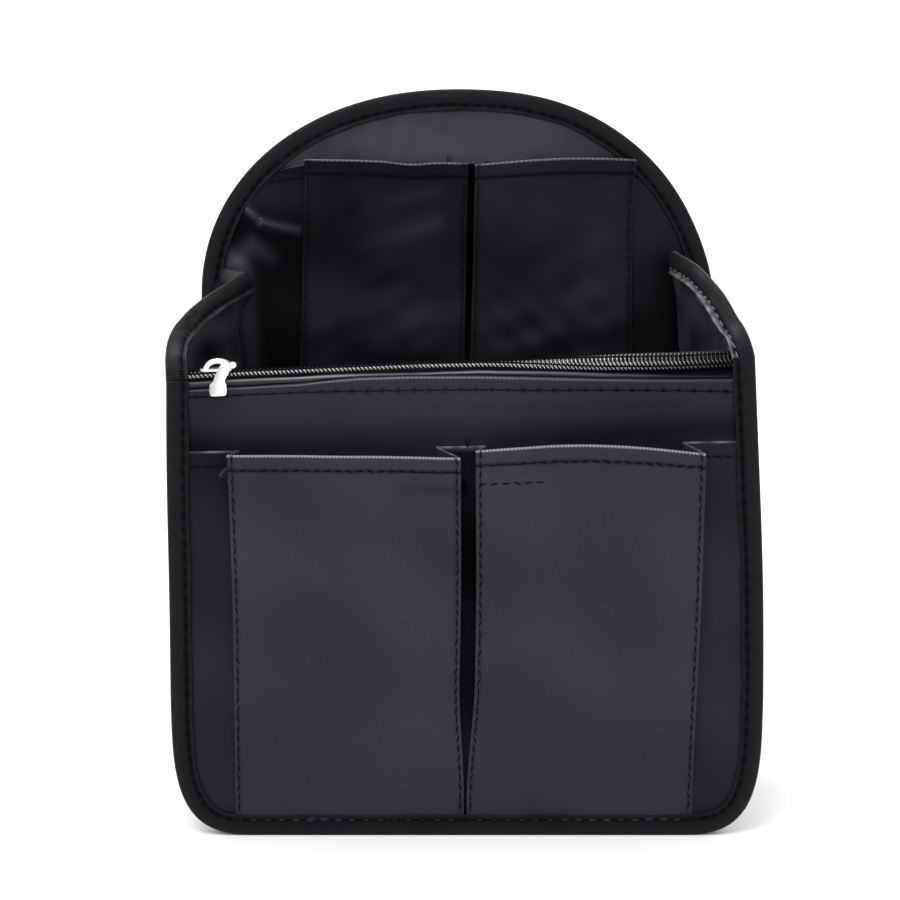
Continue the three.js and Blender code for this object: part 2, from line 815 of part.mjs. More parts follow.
// Front panel with its pocket band and zip
function frontPanel() {
  const group = new THREE.Group();
  group.add(
    piece('front_binding', frontBinding(), 'tape'),
    piece('front_pocket_band', frontBand(), 'shell'),
    piece('front_cover', frontLayer(frontStack.cover, layerInset, coverTop), 'shell'),
    piece('zip_pocket_back', frontLayer(frontStack.pocketBack, layerInset, pocketBackTop), 'lining'),
    piece('front_board', frontLayer(frontStack.board, layerInset + boardMargin, frontBoardTop), 'board'),
    piece('front_lining', frontLayer(frontStack.lining, layerInset, liningTop), 'lining'),
    piece('zip_tape_front', zipTape(-1, frontStack.zipTapeFront), 'tape'),
    piece('zip_tape_back', zipTape(1, frontStack.zipTapeBack), 'tape'),
    piece('zip_coil_front', coilRow(-1), 'coil'),
    piece('zip_coil_back', coilRow(1), 'coil'),
  );
  return group;
}

function frontBand() {
  const path = insetPath(frontPath(frontHeight), tuckUnderBinding, false);
  return pocketBand(frontPocket, frontHeight, frontStack.pocketBand, path);
}

function backBand() {
  const path = insetPath(backPath(), tuckUnderBinding, true);
  return pocketBand(backPocket, backHeight, backStack.pocketBand, path);
}

// Back panel with its pocket band, and the walls that join the two panels
function backPanel() {
  const group = new THREE.Group();
  group.add(
    piece('back_binding', backBinding(), 'tape'),
    piece('back_pocket_band', backBand(), 'lining'),
    piece('back_lining', backLayer(backStack.lining, layerInset), 'lining'),
    piece('back_board', backLayer(backStack.board, layerInset + boardMargin), 'board'),
    piece('back_cover', backLayer(backStack.cover, layerInset), 'shell'),
    piece('bottom_wall', bottomWall(), 'lining'),
  );
  for (const [name, side] of [['left', -1], ['right', 1]]) {
    group.add(
      piece(`side_wall_${name}`, sideWall(side), 'lining'),
      piece(`side_top_binding_${name}`, sideTopBinding(side), 'tape'),
    );
  }
  return group;
}

// Slider on the chain, its crown and the hanging tab
function zipSlider() {
  const place = slouchedPoint(new THREE.Vector3(sliderX, chainFromFront, chainHeight));
  const slider = new THREE.Group();
  slider.position.copy(place);
  slider.rotation.y = -Math.atan((riseShare * chainHeight) / (baseWidth / 2));
  const rolled = new THREE.Group();
  rolled.rotation.x = chainTilt;
  const crown = piece('slider_crown', sliderCrown(), 'nickel');
  crown.position.z = sliderHalfHeight + crownSeatGap;
  const tab = piece('pull_tab', pullTab(), 'nickel');
  tab.position.z = crown.position.z + crownBarHeight;
  tab.rotation.x = -(chainTilt + tabHang);
  rolled.add(piece('slider_body', sliderBody(), 'nickel'), crown, tab);
  slider.add(rolled);
  return slider;
}

// The origin is under the middle of the organiser, where it stands
const organiser = new THREE.Group();
organiser.add(frontPanel(), backPanel(), zipSlider());
const bounds = new THREE.Box3().setFromObject(organiser, true);
const middle = bounds.getCenter(new THREE.Vector3());
organiser.position.set(-middle.x, -middle.y, -bounds.min.z);

export default organiser;
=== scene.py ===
# Looks for a small backpack's organiser insert: cloth panels, pleated pockets, folded side walls,
# edge tapes, stitching, a coil zip and its nickel slider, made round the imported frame.
import math
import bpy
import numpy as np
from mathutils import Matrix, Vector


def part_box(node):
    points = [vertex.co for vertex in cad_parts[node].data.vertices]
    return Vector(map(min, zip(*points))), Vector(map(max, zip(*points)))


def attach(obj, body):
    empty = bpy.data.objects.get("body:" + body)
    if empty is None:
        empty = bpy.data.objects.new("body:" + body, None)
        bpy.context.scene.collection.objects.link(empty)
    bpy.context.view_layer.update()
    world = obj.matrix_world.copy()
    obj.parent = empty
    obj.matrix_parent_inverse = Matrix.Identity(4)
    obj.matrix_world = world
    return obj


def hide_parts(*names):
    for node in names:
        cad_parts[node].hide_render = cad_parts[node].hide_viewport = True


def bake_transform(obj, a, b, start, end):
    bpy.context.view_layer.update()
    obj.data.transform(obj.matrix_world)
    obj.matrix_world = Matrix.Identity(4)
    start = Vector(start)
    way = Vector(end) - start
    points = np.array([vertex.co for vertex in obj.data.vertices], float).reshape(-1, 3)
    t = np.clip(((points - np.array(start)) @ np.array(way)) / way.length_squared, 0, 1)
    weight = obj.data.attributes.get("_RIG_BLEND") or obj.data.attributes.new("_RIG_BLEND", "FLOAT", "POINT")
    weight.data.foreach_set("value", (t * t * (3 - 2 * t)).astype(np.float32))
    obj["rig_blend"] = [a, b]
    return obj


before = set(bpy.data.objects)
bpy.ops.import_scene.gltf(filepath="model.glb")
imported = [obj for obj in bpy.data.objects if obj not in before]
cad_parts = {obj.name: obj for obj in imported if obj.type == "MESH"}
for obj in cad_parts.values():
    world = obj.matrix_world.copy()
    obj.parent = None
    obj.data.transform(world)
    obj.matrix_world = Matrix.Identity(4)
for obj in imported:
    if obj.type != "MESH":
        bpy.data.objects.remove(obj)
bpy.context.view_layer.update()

from types import SimpleNamespace

import bmesh
import bpy
import numpy as np
from bpy.props import FloatProperty, FloatVectorProperty, PointerProperty
from mathutils import Vector

bl_info = {
    "name": "Organiser insert",
    "version": (1, 0, 0),
    "blender": (4, 5, 0),
    "location": "3D View > Sidebar > Organiser",
    "description": "Makes the cloth, tapes, zip and metal of a backpack organiser insert",
    "category": "Add Mesh",
}

MM = 0.001

# The panels' outline and the slouch of the whole, as the frame's solids have them
BASE_HALF = 104 * MM
TAPER_LOSS = 6.3 * MM
TAPER_POWER = 2.5
FRONT_TAPER_LOSS = 5.0 * MM
FRONT_TAPER_POWER = 2.0
SHOULDER = 183 * MM
ARCH_RISE = 79.5 * MM
ARCH_POWER = 2.1
CORNER_WIDTH = 33 * MM
CORNER_HEIGHT = 50 * MM
CORNER_POWER = 3.5
BACK_TOP = SHOULDER + ARCH_RISE
LEAN = 0.018
RISE = 0.027
RISE_FROM_Y = 60 * MM
RISE_TO_Y = 82.1 * MM
FRONT_SWAY = 0.7 * MM
FRONT_SWAY_Z = 85 * MM
FRONT_SWAY_REACH = 45 * MM
ARCH_SAG = 1.8 * MM
ARCH_SAG_Z = 214 * MM
ARCH_SAG_REACH = 24 * MM
ARCH_SAG_FULL_X = 80 * MM
ARCH_LIFT = 1.1 * MM
ARCH_LIFT_X = 42 * MM
ARCH_LIFT_REACH = 26 * MM
ARCH_LIFT_FROM_Z = 215 * MM
ARCH_LIFT_OVER = 30 * MM
MIDDLE_X = 0.575 * MM
FRONT_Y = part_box("front_binding")[0].y

# Depths of the layers' middles behind the front face, and how far the layers reach in the panels
FRONT_TAPE_MIDDLE = 3.425 * MM
FRONT_TAPE_HALF = 3.225 * MM
BACK_TAPE_MIDDLE = 84.55 * MM
BACK_TAPE_HALF = 2.25 * MM
COVER_DEPTH = 1.5 * MM
ZIP_POCKET_DEPTH = 2.8 * MM
FRONT_LINING_DEPTH = 5.35 * MM
FRONT_FLANGE_DEPTH = 6.0 * MM
BACK_FLANGE_DEPTH = 82.95 * MM
BACK_LINING_DEPTH = 84.25 * MM
BACK_COVER_DEPTH = 86.15 * MM
WALL_INSET = 8.45 * MM
LAYER_INSET = 3.2 * MM
LAYER_FOOT = 5 * MM
FRONT_OUTLINE_TOP = 172 * MM
BACK_LAYER_TOP = 257.5 * MM
ZIP_POCKET_TOP = 159.4 * MM
FRONT_LINING_TOP = 159.2 * MM
LINING_HEM = 5 * MM
CLOTH = 0.36 * MM
TAPE = 0.42 * MM


def unit(vectors):
    """Vectors scaled to length one."""
    length = np.linalg.norm(vectors, axis=-1, keepdims=True)
    return vectors / np.maximum(length, 1e-12)


def smooth(share):
    """Smooth step from 0 to 1."""
    share = np.clip(share, 0, 1)
    return share * share * (3 - 2 * share)


def bell(distance, width):
    """A bump of height one round a place."""
    return np.exp(-((distance / width) ** 2))


def waves(u, v, seed, size, count=7):
    """Soft random waves of about height one, with crests about a size apart."""
    draw = np.random.default_rng(seed)
    total = np.zeros(np.broadcast(u, v).shape)
    for _ in range(count):
        turn, phase = draw.uniform(0, 2 * math.pi, 2)
        pitch = 2 * math.pi * draw.uniform(0.6, 1.5) / size
        total = total + np.sin(pitch * (u * math.cos(turn) + v * math.sin(turn)) + phase)
    return total / math.sqrt(count)


def half_width(height):
    """Half width of the back panel at a height: a slight taper to the shoulder, then the arch."""
    low = np.clip(np.asarray(height, float) / SHOULDER, 0, 1)
    high = np.clip((np.asarray(height, float) - SHOULDER) / ARCH_RISE, 0, 1)
    tapered = BASE_HALF - TAPER_LOSS * low**TAPER_POWER
    return tapered * (1 - high**ARCH_POWER) ** (1 / ARCH_POWER)


def front_half_width(height):
    """Half width of the front panel at a height."""
    return BASE_HALF - FRONT_TAPER_LOSS * (np.asarray(height, float) / SHOULDER) ** FRONT_TAPER_POWER


def slouched(points):
    """Upright points put where the organiser stands: leaning a little, and taller at its right."""
    x, y, z = points[..., 0], points[..., 1], points[..., 2]
    left = 1 - np.clip((y - RISE_FROM_Y) / (RISE_TO_Y - RISE_FROM_Y), 0, 1)
    rise = 1 + RISE * left * x / BASE_HALF
    sway = left * FRONT_SWAY * bell(z - FRONT_SWAY_Z, FRONT_SWAY_REACH)
    sag = ARCH_SAG * bell(z - ARCH_SAG_Z, ARCH_SAG_REACH) * smooth(x / ARCH_SAG_FULL_X)
    lift = ARCH_LIFT * bell(x - ARCH_LIFT_X, ARCH_LIFT_REACH)
    lift = (1 - left) * lift * smooth((z - ARCH_LIFT_FROM_Z) / ARCH_LIFT_OVER)
    sway = sway - (1 - left) * sag
    return np.stack([x - LEAN * z + MIDDLE_X + sway, y + FRONT_Y, z * rise + lift], -1)


def between_ends(pair, share):
    """A value between the two of a pair, by a share."""
    return pair[0] + (pair[1] - pair[0]) * share


def bent(start, corner, end, share):
    """Points of a soft bend from a start to an end, drawn towards a corner."""
    return start * (1 - share) ** 2 + corner * 2 * share * (1 - share) + end * share**2


def path_lengths(points):
    """Distance along a line of points, from 0 at its first."""
    steps = np.linalg.norm(np.diff(points, axis=0), axis=-1)
    return np.concatenate([[0], np.cumsum(steps)])


def evenly(points, step):
    """The same line with its points an even step apart."""
    along = path_lengths(points)
    count = max(2, int(round(along[-1] / step)) + 1)
    places = np.linspace(0, along[-1], count)
    return np.stack([np.interp(places, along, points[:, i]) for i in range(points.shape[1])], -1)


def spline(a, b, c, d, share):
    """A smooth piece of a curve from b to c."""
    return 0.5 * (2 * b + (c - a) * share + (2 * a - 5 * b + 4 * c - d) * share**2
                  + (3 * b - a - 3 * c + d) * share**3)


def curve_through(points, step):
    """A smooth line through points, evenly stepped."""
    points = np.asarray(points, float)
    ends = np.concatenate([[2 * points[0] - points[1]], points, [2 * points[-1] - points[-2]]])
    share = np.linspace(0, 1, 24, endpoint=False)[:, None]
    parts = [spline(*corners, share) for corners in zip(ends, ends[1:], ends[2:], ends[3:])]
    return evenly(np.concatenate([*parts, [points[-1]]]), step)


def right_line(top):
    """Right side of a panel's outline from its bottom corner up, over the arch if it goes so far."""
    width = half_width if top > SHOULDER else front_half_width
    turn = np.linspace(0, math.pi / 2, 60)
    power = 2 / CORNER_POWER
    corner_x = width(CORNER_HEIGHT) - CORNER_WIDTH + CORNER_WIDTH * np.sin(turn) ** power
    corner_z = CORNER_HEIGHT - CORNER_HEIGHT * np.clip(np.cos(turn), 0, 1) ** power
    heights = np.linspace(CORNER_HEIGHT, min(top, SHOULDER), 80)[1:]
    parts = [np.stack([corner_x, corner_z], -1), np.stack([width(heights), heights], -1)]
    if top > SHOULDER:
        turn = np.linspace(0, math.pi / 2, 120)[1:]
        power = 2 / ARCH_POWER
        x = half_width(SHOULDER) * np.clip(np.cos(turn), 0, 1) ** power
        parts.append(np.stack([x, SHOULDER + ARCH_RISE * np.sin(turn) ** power], -1))
    return np.concatenate(parts)


def inset_halves(heights, inset, top=BACK_TOP):
    """Half width at some heights of the outline moved inwards by an inset."""
    line = right_line(top)
    tangent = unit(np.gradient(line, axis=0))
    moved = line + inset * np.stack([-tangent[:, 1], tangent[:, 0]], -1)
    order = np.maximum.accumulate(moved[:, 1])
    return np.interp(heights, order, moved[:, 0])


class Sheet:
    """A grid of points that stands for a cloth, with rows going up and columns along it."""

    def __init__(self, grid, thickness, tone=0.0, back_tone=None):
        self.grid = grid
        self.thickness = thickness
        # tone and back_tone are painted highlights and painted shade on the two faces
        self.tone = np.broadcast_to(tone, grid.shape[:2])
        self.back_tone = np.broadcast_to(tone if back_tone is None else back_tone, grid.shape[:2])
        up = np.gradient(grid, axis=0)
        along = np.gradient(grid, axis=1)
        self.normal = unit(np.cross(along, up))
        across_steps = np.linalg.norm(np.diff(grid, axis=1), axis=-1).mean(0)
        up_steps = np.linalg.norm(np.diff(grid, axis=0), axis=-1).mean(1)
        self.u = np.concatenate([[0], np.cumsum(across_steps)])
        self.v = np.concatenate([[0], np.cumsum(up_steps)])

    def flat(self):
        """Width and length that the cloth was cut to."""
        return float(self.u[-1]), float(self.v[-1])

    def area(self):
        """Area of the cloth, measured on its grid."""
        along = np.diff(self.grid, axis=1)[:-1]
        up = np.diff(self.grid, axis=0)[:, :-1]
        return float(np.linalg.norm(np.cross(along, up), axis=-1).sum())

    def line(self, rows, columns, side=1.0, lift=0.0):
        """Points on the cloth's face along a row or column, and the way out of the cloth there."""
        out = self.normal[rows, columns] * side
        half = np.broadcast_to(self.thickness, self.grid.shape[:2])[rows, columns, None] / 2
        return self.grid[rows, columns] + out * (half + lift), out


def plain_sheet(x, y, z, tone=0.0):
    """A sheet of the usual cloth from its points' upright places."""
    return Sheet(slouched(np.stack([x, y, z], -1)), CLOTH, tone)


def shell_mesh(name, sheet):
    """A closed mesh of a sheet, with rounded rims, the cloth's own UV map and its tone of painted highlights
    and painted shade.
    """
    grid, normal = sheet.grid, sheet.normal
    rows, columns = grid.shape[:2]
    half = (np.broadcast_to(sheet.thickness, (rows, columns)) / 2)[..., None]
    numbers = np.arange(rows * columns).reshape(rows, columns)
    rim = np.concatenate(
        [numbers[0, :-1], numbers[:-1, -1], numbers[-1, :0:-1], numbers[:0:-1, 0]]
    )
    away = np.zeros_like(grid)
    away[0] -= grid[1] - grid[0]
    away[-1] += grid[-1] - grid[-2]
    away = unit(away)
    side = np.zeros_like(grid)
    side[:, 0] -= unit(grid[:, 1] - grid[:, 0])
    side[:, -1] += unit(grid[:, -1] - grid[:, -2])
    away = unit(away + side)
    edge = (grid + away * half * 0.8).reshape(-1, 3)[rim]
    points = np.concatenate(
        [(grid + normal * half).reshape(-1, 3), (grid - normal * half).reshape(-1, 3), edge]
    )
    a, b = numbers[:-1, :-1].ravel(), numbers[:-1, 1:].ravel()
    c, d = numbers[1:, 1:].ravel(), numbers[1:, :-1].ravel()
    back = rows * columns
    faces = [np.stack([a, b, c, d], -1), np.stack([d, c, b, a], -1) + back]
    start, end = rim, np.roll(rim, -1)
    middle = 2 * back + np.arange(len(rim))
    next_middle = np.roll(middle, -1)
    faces.append(np.stack([end, start, middle, next_middle], -1))
    faces.append(np.stack([next_middle, middle, start + back, end + back], -1))
    faces = np.concatenate(faces)
    uv = np.stack(np.meshgrid(sheet.u, sheet.v), -1).reshape(-1, 2)
    uv = np.concatenate([uv, uv, uv[rim]])
    mesh = bpy.data.meshes.new(name)
    mesh.from_pydata(points.tolist(), [], faces.tolist())
    layer = mesh.uv_layers.new(name="cloth")
    layer.data.foreach_set("uv", uv[faces.ravel()].astype(np.float32).ravel())
    tone, back_tone = sheet.tone.ravel(), sheet.back_tone.ravel()
    layer = mesh.attributes.new("tone", "FLOAT", "POINT")
    layer.data.foreach_set("value", np.concatenate([tone, back_tone, tone[rim]]).astype(np.float32))
    mesh.shade_smooth()
    mesh.update()
    return mesh


def put(name, data):
    """A new object in the scene that shows a mesh, a lamp or a camera."""
    thing = bpy.data.objects.new(name, data)
    bpy.context.scene.collection.objects.link(thing)
    return thing


def evaluated_mesh(thing):
    """The mesh of an object with its modifiers applied."""
    shown = thing.evaluated_get(bpy.context.evaluated_depsgraph_get())
    return bpy.data.meshes.new_from_object(shown)


def show(name, mesh, finish, body=None, node=None):
    """Puts a finished mesh in the scene as a piece, in place of a node's solid where it has one.

    It rides on its body. Without one it lies between the panels, and bends as the front one leans.
    """
    piece = put(name, mesh)
    mesh.materials.clear()
    mesh.materials.append(material_named(finish))
    if body:
        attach(piece, body)
    else:
        rear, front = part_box("back_binding")[0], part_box("front_binding")[1]
        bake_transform(piece, "back_panel", "front_panel", start=(0, rear.y, 0.1), end=(0, front.y, 0.1))
    if node:
        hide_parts(node)
    return piece


def tape_piece(name, sheet, finish, node, body=None):
    """A tape that is sewn on, in place of its solid."""
    return show(name, shell_mesh(name, sheet), finish, body, node)


def cloth_piece(name, sheet, finish, node, body=None):
    """A sheet of cloth in place of its solid; its cut size is worked out and not kept."""
    piece = show(name, shell_mesh(name, sheet), finish, body, node)
    width, length = sheet.flat()
    min(sheet.area(), width * length)


# Materials

def new_material(name):
    """An empty node material with its shader and output."""
    material = bpy.data.materials.new(name)
    material.use_nodes = True
    nodes = material.node_tree.nodes
    nodes.clear()
    output = nodes.new("ShaderNodeOutputMaterial")
    shader = nodes.new("ShaderNodeBsdfPrincipled")
    material.node_tree.links.new(shader.outputs["BSDF"], output.inputs["Surface"])
    return material, shader


class Nodes:
    """Short calls for building one material's or one modifier's tree."""

    def __init__(self, tree):
        self.tree = tree

    def link(self, source, target):
        """Joins two sockets."""
        self.tree.links.new(source, target)

    def feed(self, socket, value):
        """Gives a socket a plain value, or what comes out of another socket."""
        if isinstance(value, bpy.types.NodeSocket):
            self.link(value, socket)
        else:
            socket.default_value = value

    def add(self, kind, inputs=None, **settings):
        """A node with its settings and its named inputs."""
        node = self.tree.nodes.new(kind)
        for key, value in settings.items():
            setattr(node, key, value)
        for key, value in (inputs or {}).items():
            self.feed(node.inputs[key], value)
        return node

    def math(self, operation, first, second=0.0):
        """The result of a sum on two values."""
        node = self.add("ShaderNodeMath", operation=operation)
        for socket, value in zip(node.inputs, (first, second)):
            self.feed(socket, value)
        return node.outputs[0]

    def mix(self, share, first, second):
        """A colour between two, by a share."""
        node = self.add("ShaderNodeMix", data_type="RGBA")
        for key, value in (("Factor", share), ("A", first), ("B", second)):
            socket = [s for s in node.inputs if s.name == key and s.type != "VECTOR"]
            socket = [s for s in socket if (s.type == "RGBA") == (key != "Factor")][0]
            self.feed(socket, value)
        return [s for s in node.outputs if s.type == "RGBA"][0]

    def ramp(self, value, low, high):
        """A value stretched so that low becomes 0 and high 1."""
        return self.add(
            "ShaderNodeMapRange", {"Value": value, "From Min": low, "From Max": high}
        ).outputs["Result"]

    def roughen(self, shader, value, low, high):
        """Lets the roughness run from low to high as a value runs from 0 to 1."""
        rough = self.add("ShaderNodeMapRange", {"Value": value, "To Min": low, "To Max": high})
        self.link(rough.outputs["Result"], shader.inputs["Roughness"])

    def emboss(self, shader, height, strength, distance):
        """Gives the surface a fine relief."""
        bump = self.add("ShaderNodeBump", {"Height": height, "Strength": strength, "Distance": distance})
        self.link(bump.outputs["Normal"], shader.inputs["Normal"])


def shade(colour, factor):
    """A colour made lighter or darker, with full alpha."""
    return tuple(c * factor for c in colour[:3]) + (1.0,)


def woven(name, colour, thread, roughness, specular, relief, contrast, cloud, diagonal=True):
    """Woven cloth: fine twill or ribs, uneven threads, faint clouds and a satin sheen, with painted
    highlights and painted shade from the mesh's tone.
    """
    material, shader = new_material(name)
    n = Nodes(material.node_tree)
    uv = n.add("ShaderNodeUVMap", uv_map="cloth").outputs["UV"]
    place = n.add("ShaderNodeTexCoord").outputs["Object"]
    weave = n.add(
        "ShaderNodeTexWave", {"Vector": uv, "Scale": (0.44 if diagonal else 0.314) / thread,
                              "Distortion": 1.2, "Detail": 2.0, "Detail Scale": 1.5},
        wave_type="BANDS", bands_direction="DIAGONAL" if diagonal else "X",
    ).outputs["Fac"]
    fine = n.add(
        "ShaderNodeTexNoise", {"Vector": uv, "Scale": 0.9 / thread, "Detail": 3.0}
    ).outputs["Fac"]
    slub = n.add("ShaderNodeMapping", {"Vector": uv, "Scale": (90.0, 900.0, 1.0)})
    slubs = n.add(
        "ShaderNodeTexNoise", {"Vector": slub.outputs[0], "Scale": 1.0, "Detail": 2.0}
    ).outputs["Fac"]
    clouds = n.add(
        "ShaderNodeTexNoise", {"Vector": place, "Scale": 26.0, "Detail": 3.0}
    ).outputs["Fac"]
    ribs = 0.25 if diagonal else 0.5
    threads = n.math("ADD", n.math("MULTIPLY", weave, ribs), n.math("MULTIPLY", fine, 1 - ribs))
    tone = n.mix(n.ramp(threads, 0.32, 0.68), shade(colour, 1 - contrast), shade(colour, 1 + contrast))
    clouded = n.mix(n.ramp(clouds, 0.3, 0.7), shade(colour, 1 - cloud), shade(colour, 1 + cloud))
    base = n.mix(0.25, tone, clouded)
    slubbed = n.mix(n.ramp(slubs, 0.62, 0.9), base, shade(colour, 1.3))
    # The tone attribute holds painted highlights and painted shade: it scales the colour and the specular,
    # and strong painted highlights turn grey
    painted_light_and_shade = n.add("ShaderNodeAttribute", attribute_name="tone").outputs["Fac"]
    grey = (sum(colour[:3]) / 3,) * 3 + (1.0,)
    greyed_glints = n.mix(n.ramp(painted_light_and_shade, 2.0, 6.0), slubbed, grey)
    level = n.math("MAXIMUM", n.math("ADD", painted_light_and_shade, 1.0), 0.05)
    toned = n.add("ShaderNodeVectorMath", {"Vector": greyed_glints, "Scale": level}, operation="SCALE")
    n.link(toned.outputs["Vector"], shader.inputs["Base Color"])
    n.link(n.math("MULTIPLY", level, specular), shader.inputs["Specular IOR Level"])
    n.roughen(shader, threads, roughness - 0.07, roughness + 0.07)
    n.emboss(shader, threads, relief, 0.2 * MM)
    shader.inputs["Specular Tint"].default_value = (0.84, 0.82, 1.0, 1.0)
    shader.inputs["Sheen Weight"].default_value = 0.02
    shader.inputs["Sheen Roughness"].default_value = 0.45
    shader.inputs["Sheen Tint"].default_value = (0.72, 0.72, 0.86, 1.0)
    return material


def nylon(name, colour, roughness):
    """Smooth moulded monofilament with faint streaks and dust, and painted shade that makes it darker and
    less glossy towards its right end.
    """
    material, shader = new_material(name)
    n = Nodes(material.node_tree)
    place = n.add("ShaderNodeTexCoord").outputs["Object"]
    streaks = n.add("ShaderNodeTexNoise", {"Vector": place, "Scale": 900.0, "Detail": 2.0})
    tone = n.mix(n.ramp(streaks.outputs["Fac"], 0.35, 0.8), shade(colour, 0.8), shade(colour, 2.2))
    along = n.add("ShaderNodeSeparateXYZ", {"Vector": place}).outputs["X"]
    # Painted shade: the coil is drawn darker and less glossy towards its right end
    right_end_shade = n.ramp(along, 55 * MM, 85 * MM)
    tone = n.mix(right_end_shade, tone, shade(colour, 0.4))
    n.link(tone, shader.inputs["Base Color"])
    n.link(n.math("SUBTRACT", 1.0, n.math("MULTIPLY", right_end_shade, 0.8)), shader.inputs["Specular IOR Level"])
    n.roughen(shader, streaks.outputs["Fac"], roughness - 0.06, roughness + 0.12)
    shader.inputs["IOR"].default_value = 2.1
    return material


def twisted_thread(name, colour):
    """Sewing thread: plies twisted round each other, matt with a little sheen."""
    material, shader = new_material(name)
    n = Nodes(material.node_tree)
    place = n.add("ShaderNodeTexCoord").outputs["Object"]
    ply = n.add("ShaderNodeTexWave", {"Vector": place, "Scale": 900.0, "Distortion": 2.0},
                wave_type="BANDS", bands_direction="DIAGONAL").outputs["Fac"]
    tone = n.mix(ply, shade(colour, 0.6), shade(colour, 1.5))
    n.link(tone, shader.inputs["Base Color"])
    n.emboss(shader, ply, 0.4, 0.05 * MM)
    shader.inputs["Roughness"].default_value = 0.9
    shader.inputs["Specular IOR Level"].default_value = 0.03
    return material


def plated_metal(name, colour):
    """Bright nickel plate over a die casting: soft dimples and tiny scratches."""
    material, shader = new_material(name)
    n = Nodes(material.node_tree)
    place = n.add("ShaderNodeTexCoord").outputs["Object"]
    dimples = n.add("ShaderNodeTexNoise", {"Vector": place, "Scale": 420.0, "Detail": 3.0})
    scratch = n.add("ShaderNodeMapping", {"Vector": place, "Rotation": (0.0, 0.6, 0.3),
                                          "Scale": (300.0, 300.0, 4000.0)})
    lines = n.add("ShaderNodeTexNoise", {"Vector": scratch.outputs[0], "Scale": 1.0})
    tone = n.mix(n.ramp(dimples.outputs["Fac"], 0.3, 0.8), shade(colour, 0.94), shade(colour, 1.04))
    n.link(tone, shader.inputs["Base Color"])
    n.roughen(shader, n.ramp(lines.outputs["Fac"], 0.35, 0.8), 0.28, 0.46)
    n.emboss(shader, dimples.outputs["Fac"], 0.12, 0.2 * MM)
    shader.inputs["Metallic"].default_value = 1.0
    return material


def pressed_board(name, colour):
    """Grey pressed board with short fibres."""
    material, shader = new_material(name)
    n = Nodes(material.node_tree)
    place = n.add("ShaderNodeTexCoord").outputs["Object"]
    fibres = n.add("ShaderNodeTexNoise", {"Vector": place, "Scale": 350.0, "Detail": 6.0})
    tone = n.mix(n.ramp(fibres.outputs["Fac"], 0.3, 0.7), shade(colour, 0.7), shade(colour, 1.1))
    n.link(tone, shader.inputs["Base Color"])
    n.emboss(shader, fibres.outputs["Fac"], 0.3, 0.2 * MM)
    shader.inputs["Roughness"].default_value = 0.9
    return material


# Each finish with the function that makes it, its colour in the panel and its other values
FINISHES = {
    "shell twill": (woven, "shell", {
        "thread": 0.8 * MM, "roughness": 0.46, "specular": 0.15, "relief": 0.15,
        "contrast": 0.18, "cloud": 0.2}),
    "lining twill": (woven, "lining", {
        "thread": 0.8 * MM, "roughness": 0.36, "specular": 0.18, "relief": 0.16,
        "contrast": 0.4, "cloud": 0.2}),
    "edge tape": (woven, "tape", {
        "thread": 0.8 * MM, "roughness": 0.45, "specular": 0.09, "relief": 0.5,
        "contrast": 0.25, "cloud": 0.3, "diagonal": False}),
    "zip tape": (woven, "zip_tape", {
        "thread": 0.7 * MM, "roughness": 0.55, "specular": 0.2, "relief": 0.5,
        "contrast": 0.4, "cloud": 0.1}),
    "zip coil": (nylon, "coil", {"roughness": 0.26}),
    "thread": (twisted_thread, "thread", {}),
    "pale thread": (twisted_thread, "pale_thread", {}),
    "nickel plate": (plated_metal, "nickel", {}),
    "grey board": (pressed_board, "board", {}),
}


def material_named(name):
    """A material that is made on first use, from the colours in the panel."""
    if name in bpy.data.materials:
        return bpy.data.materials[name]
    make, colour, values = FINISHES[name]
    return make(name, getattr(bpy.context.scene.organiser_colours, colour), **values)


# Repeated pieces: stitches along guide lines, and the loops of the zip's coil

REPEAT_INPUTS = {
    "Spacing": 4 * MM, "Length": 3 * MM, "Height": 1 * MM, "Thickness": 0.4 * MM,
    "Slant": 0.0, "Lean": 0.0, "Scatter": 0.0,
}


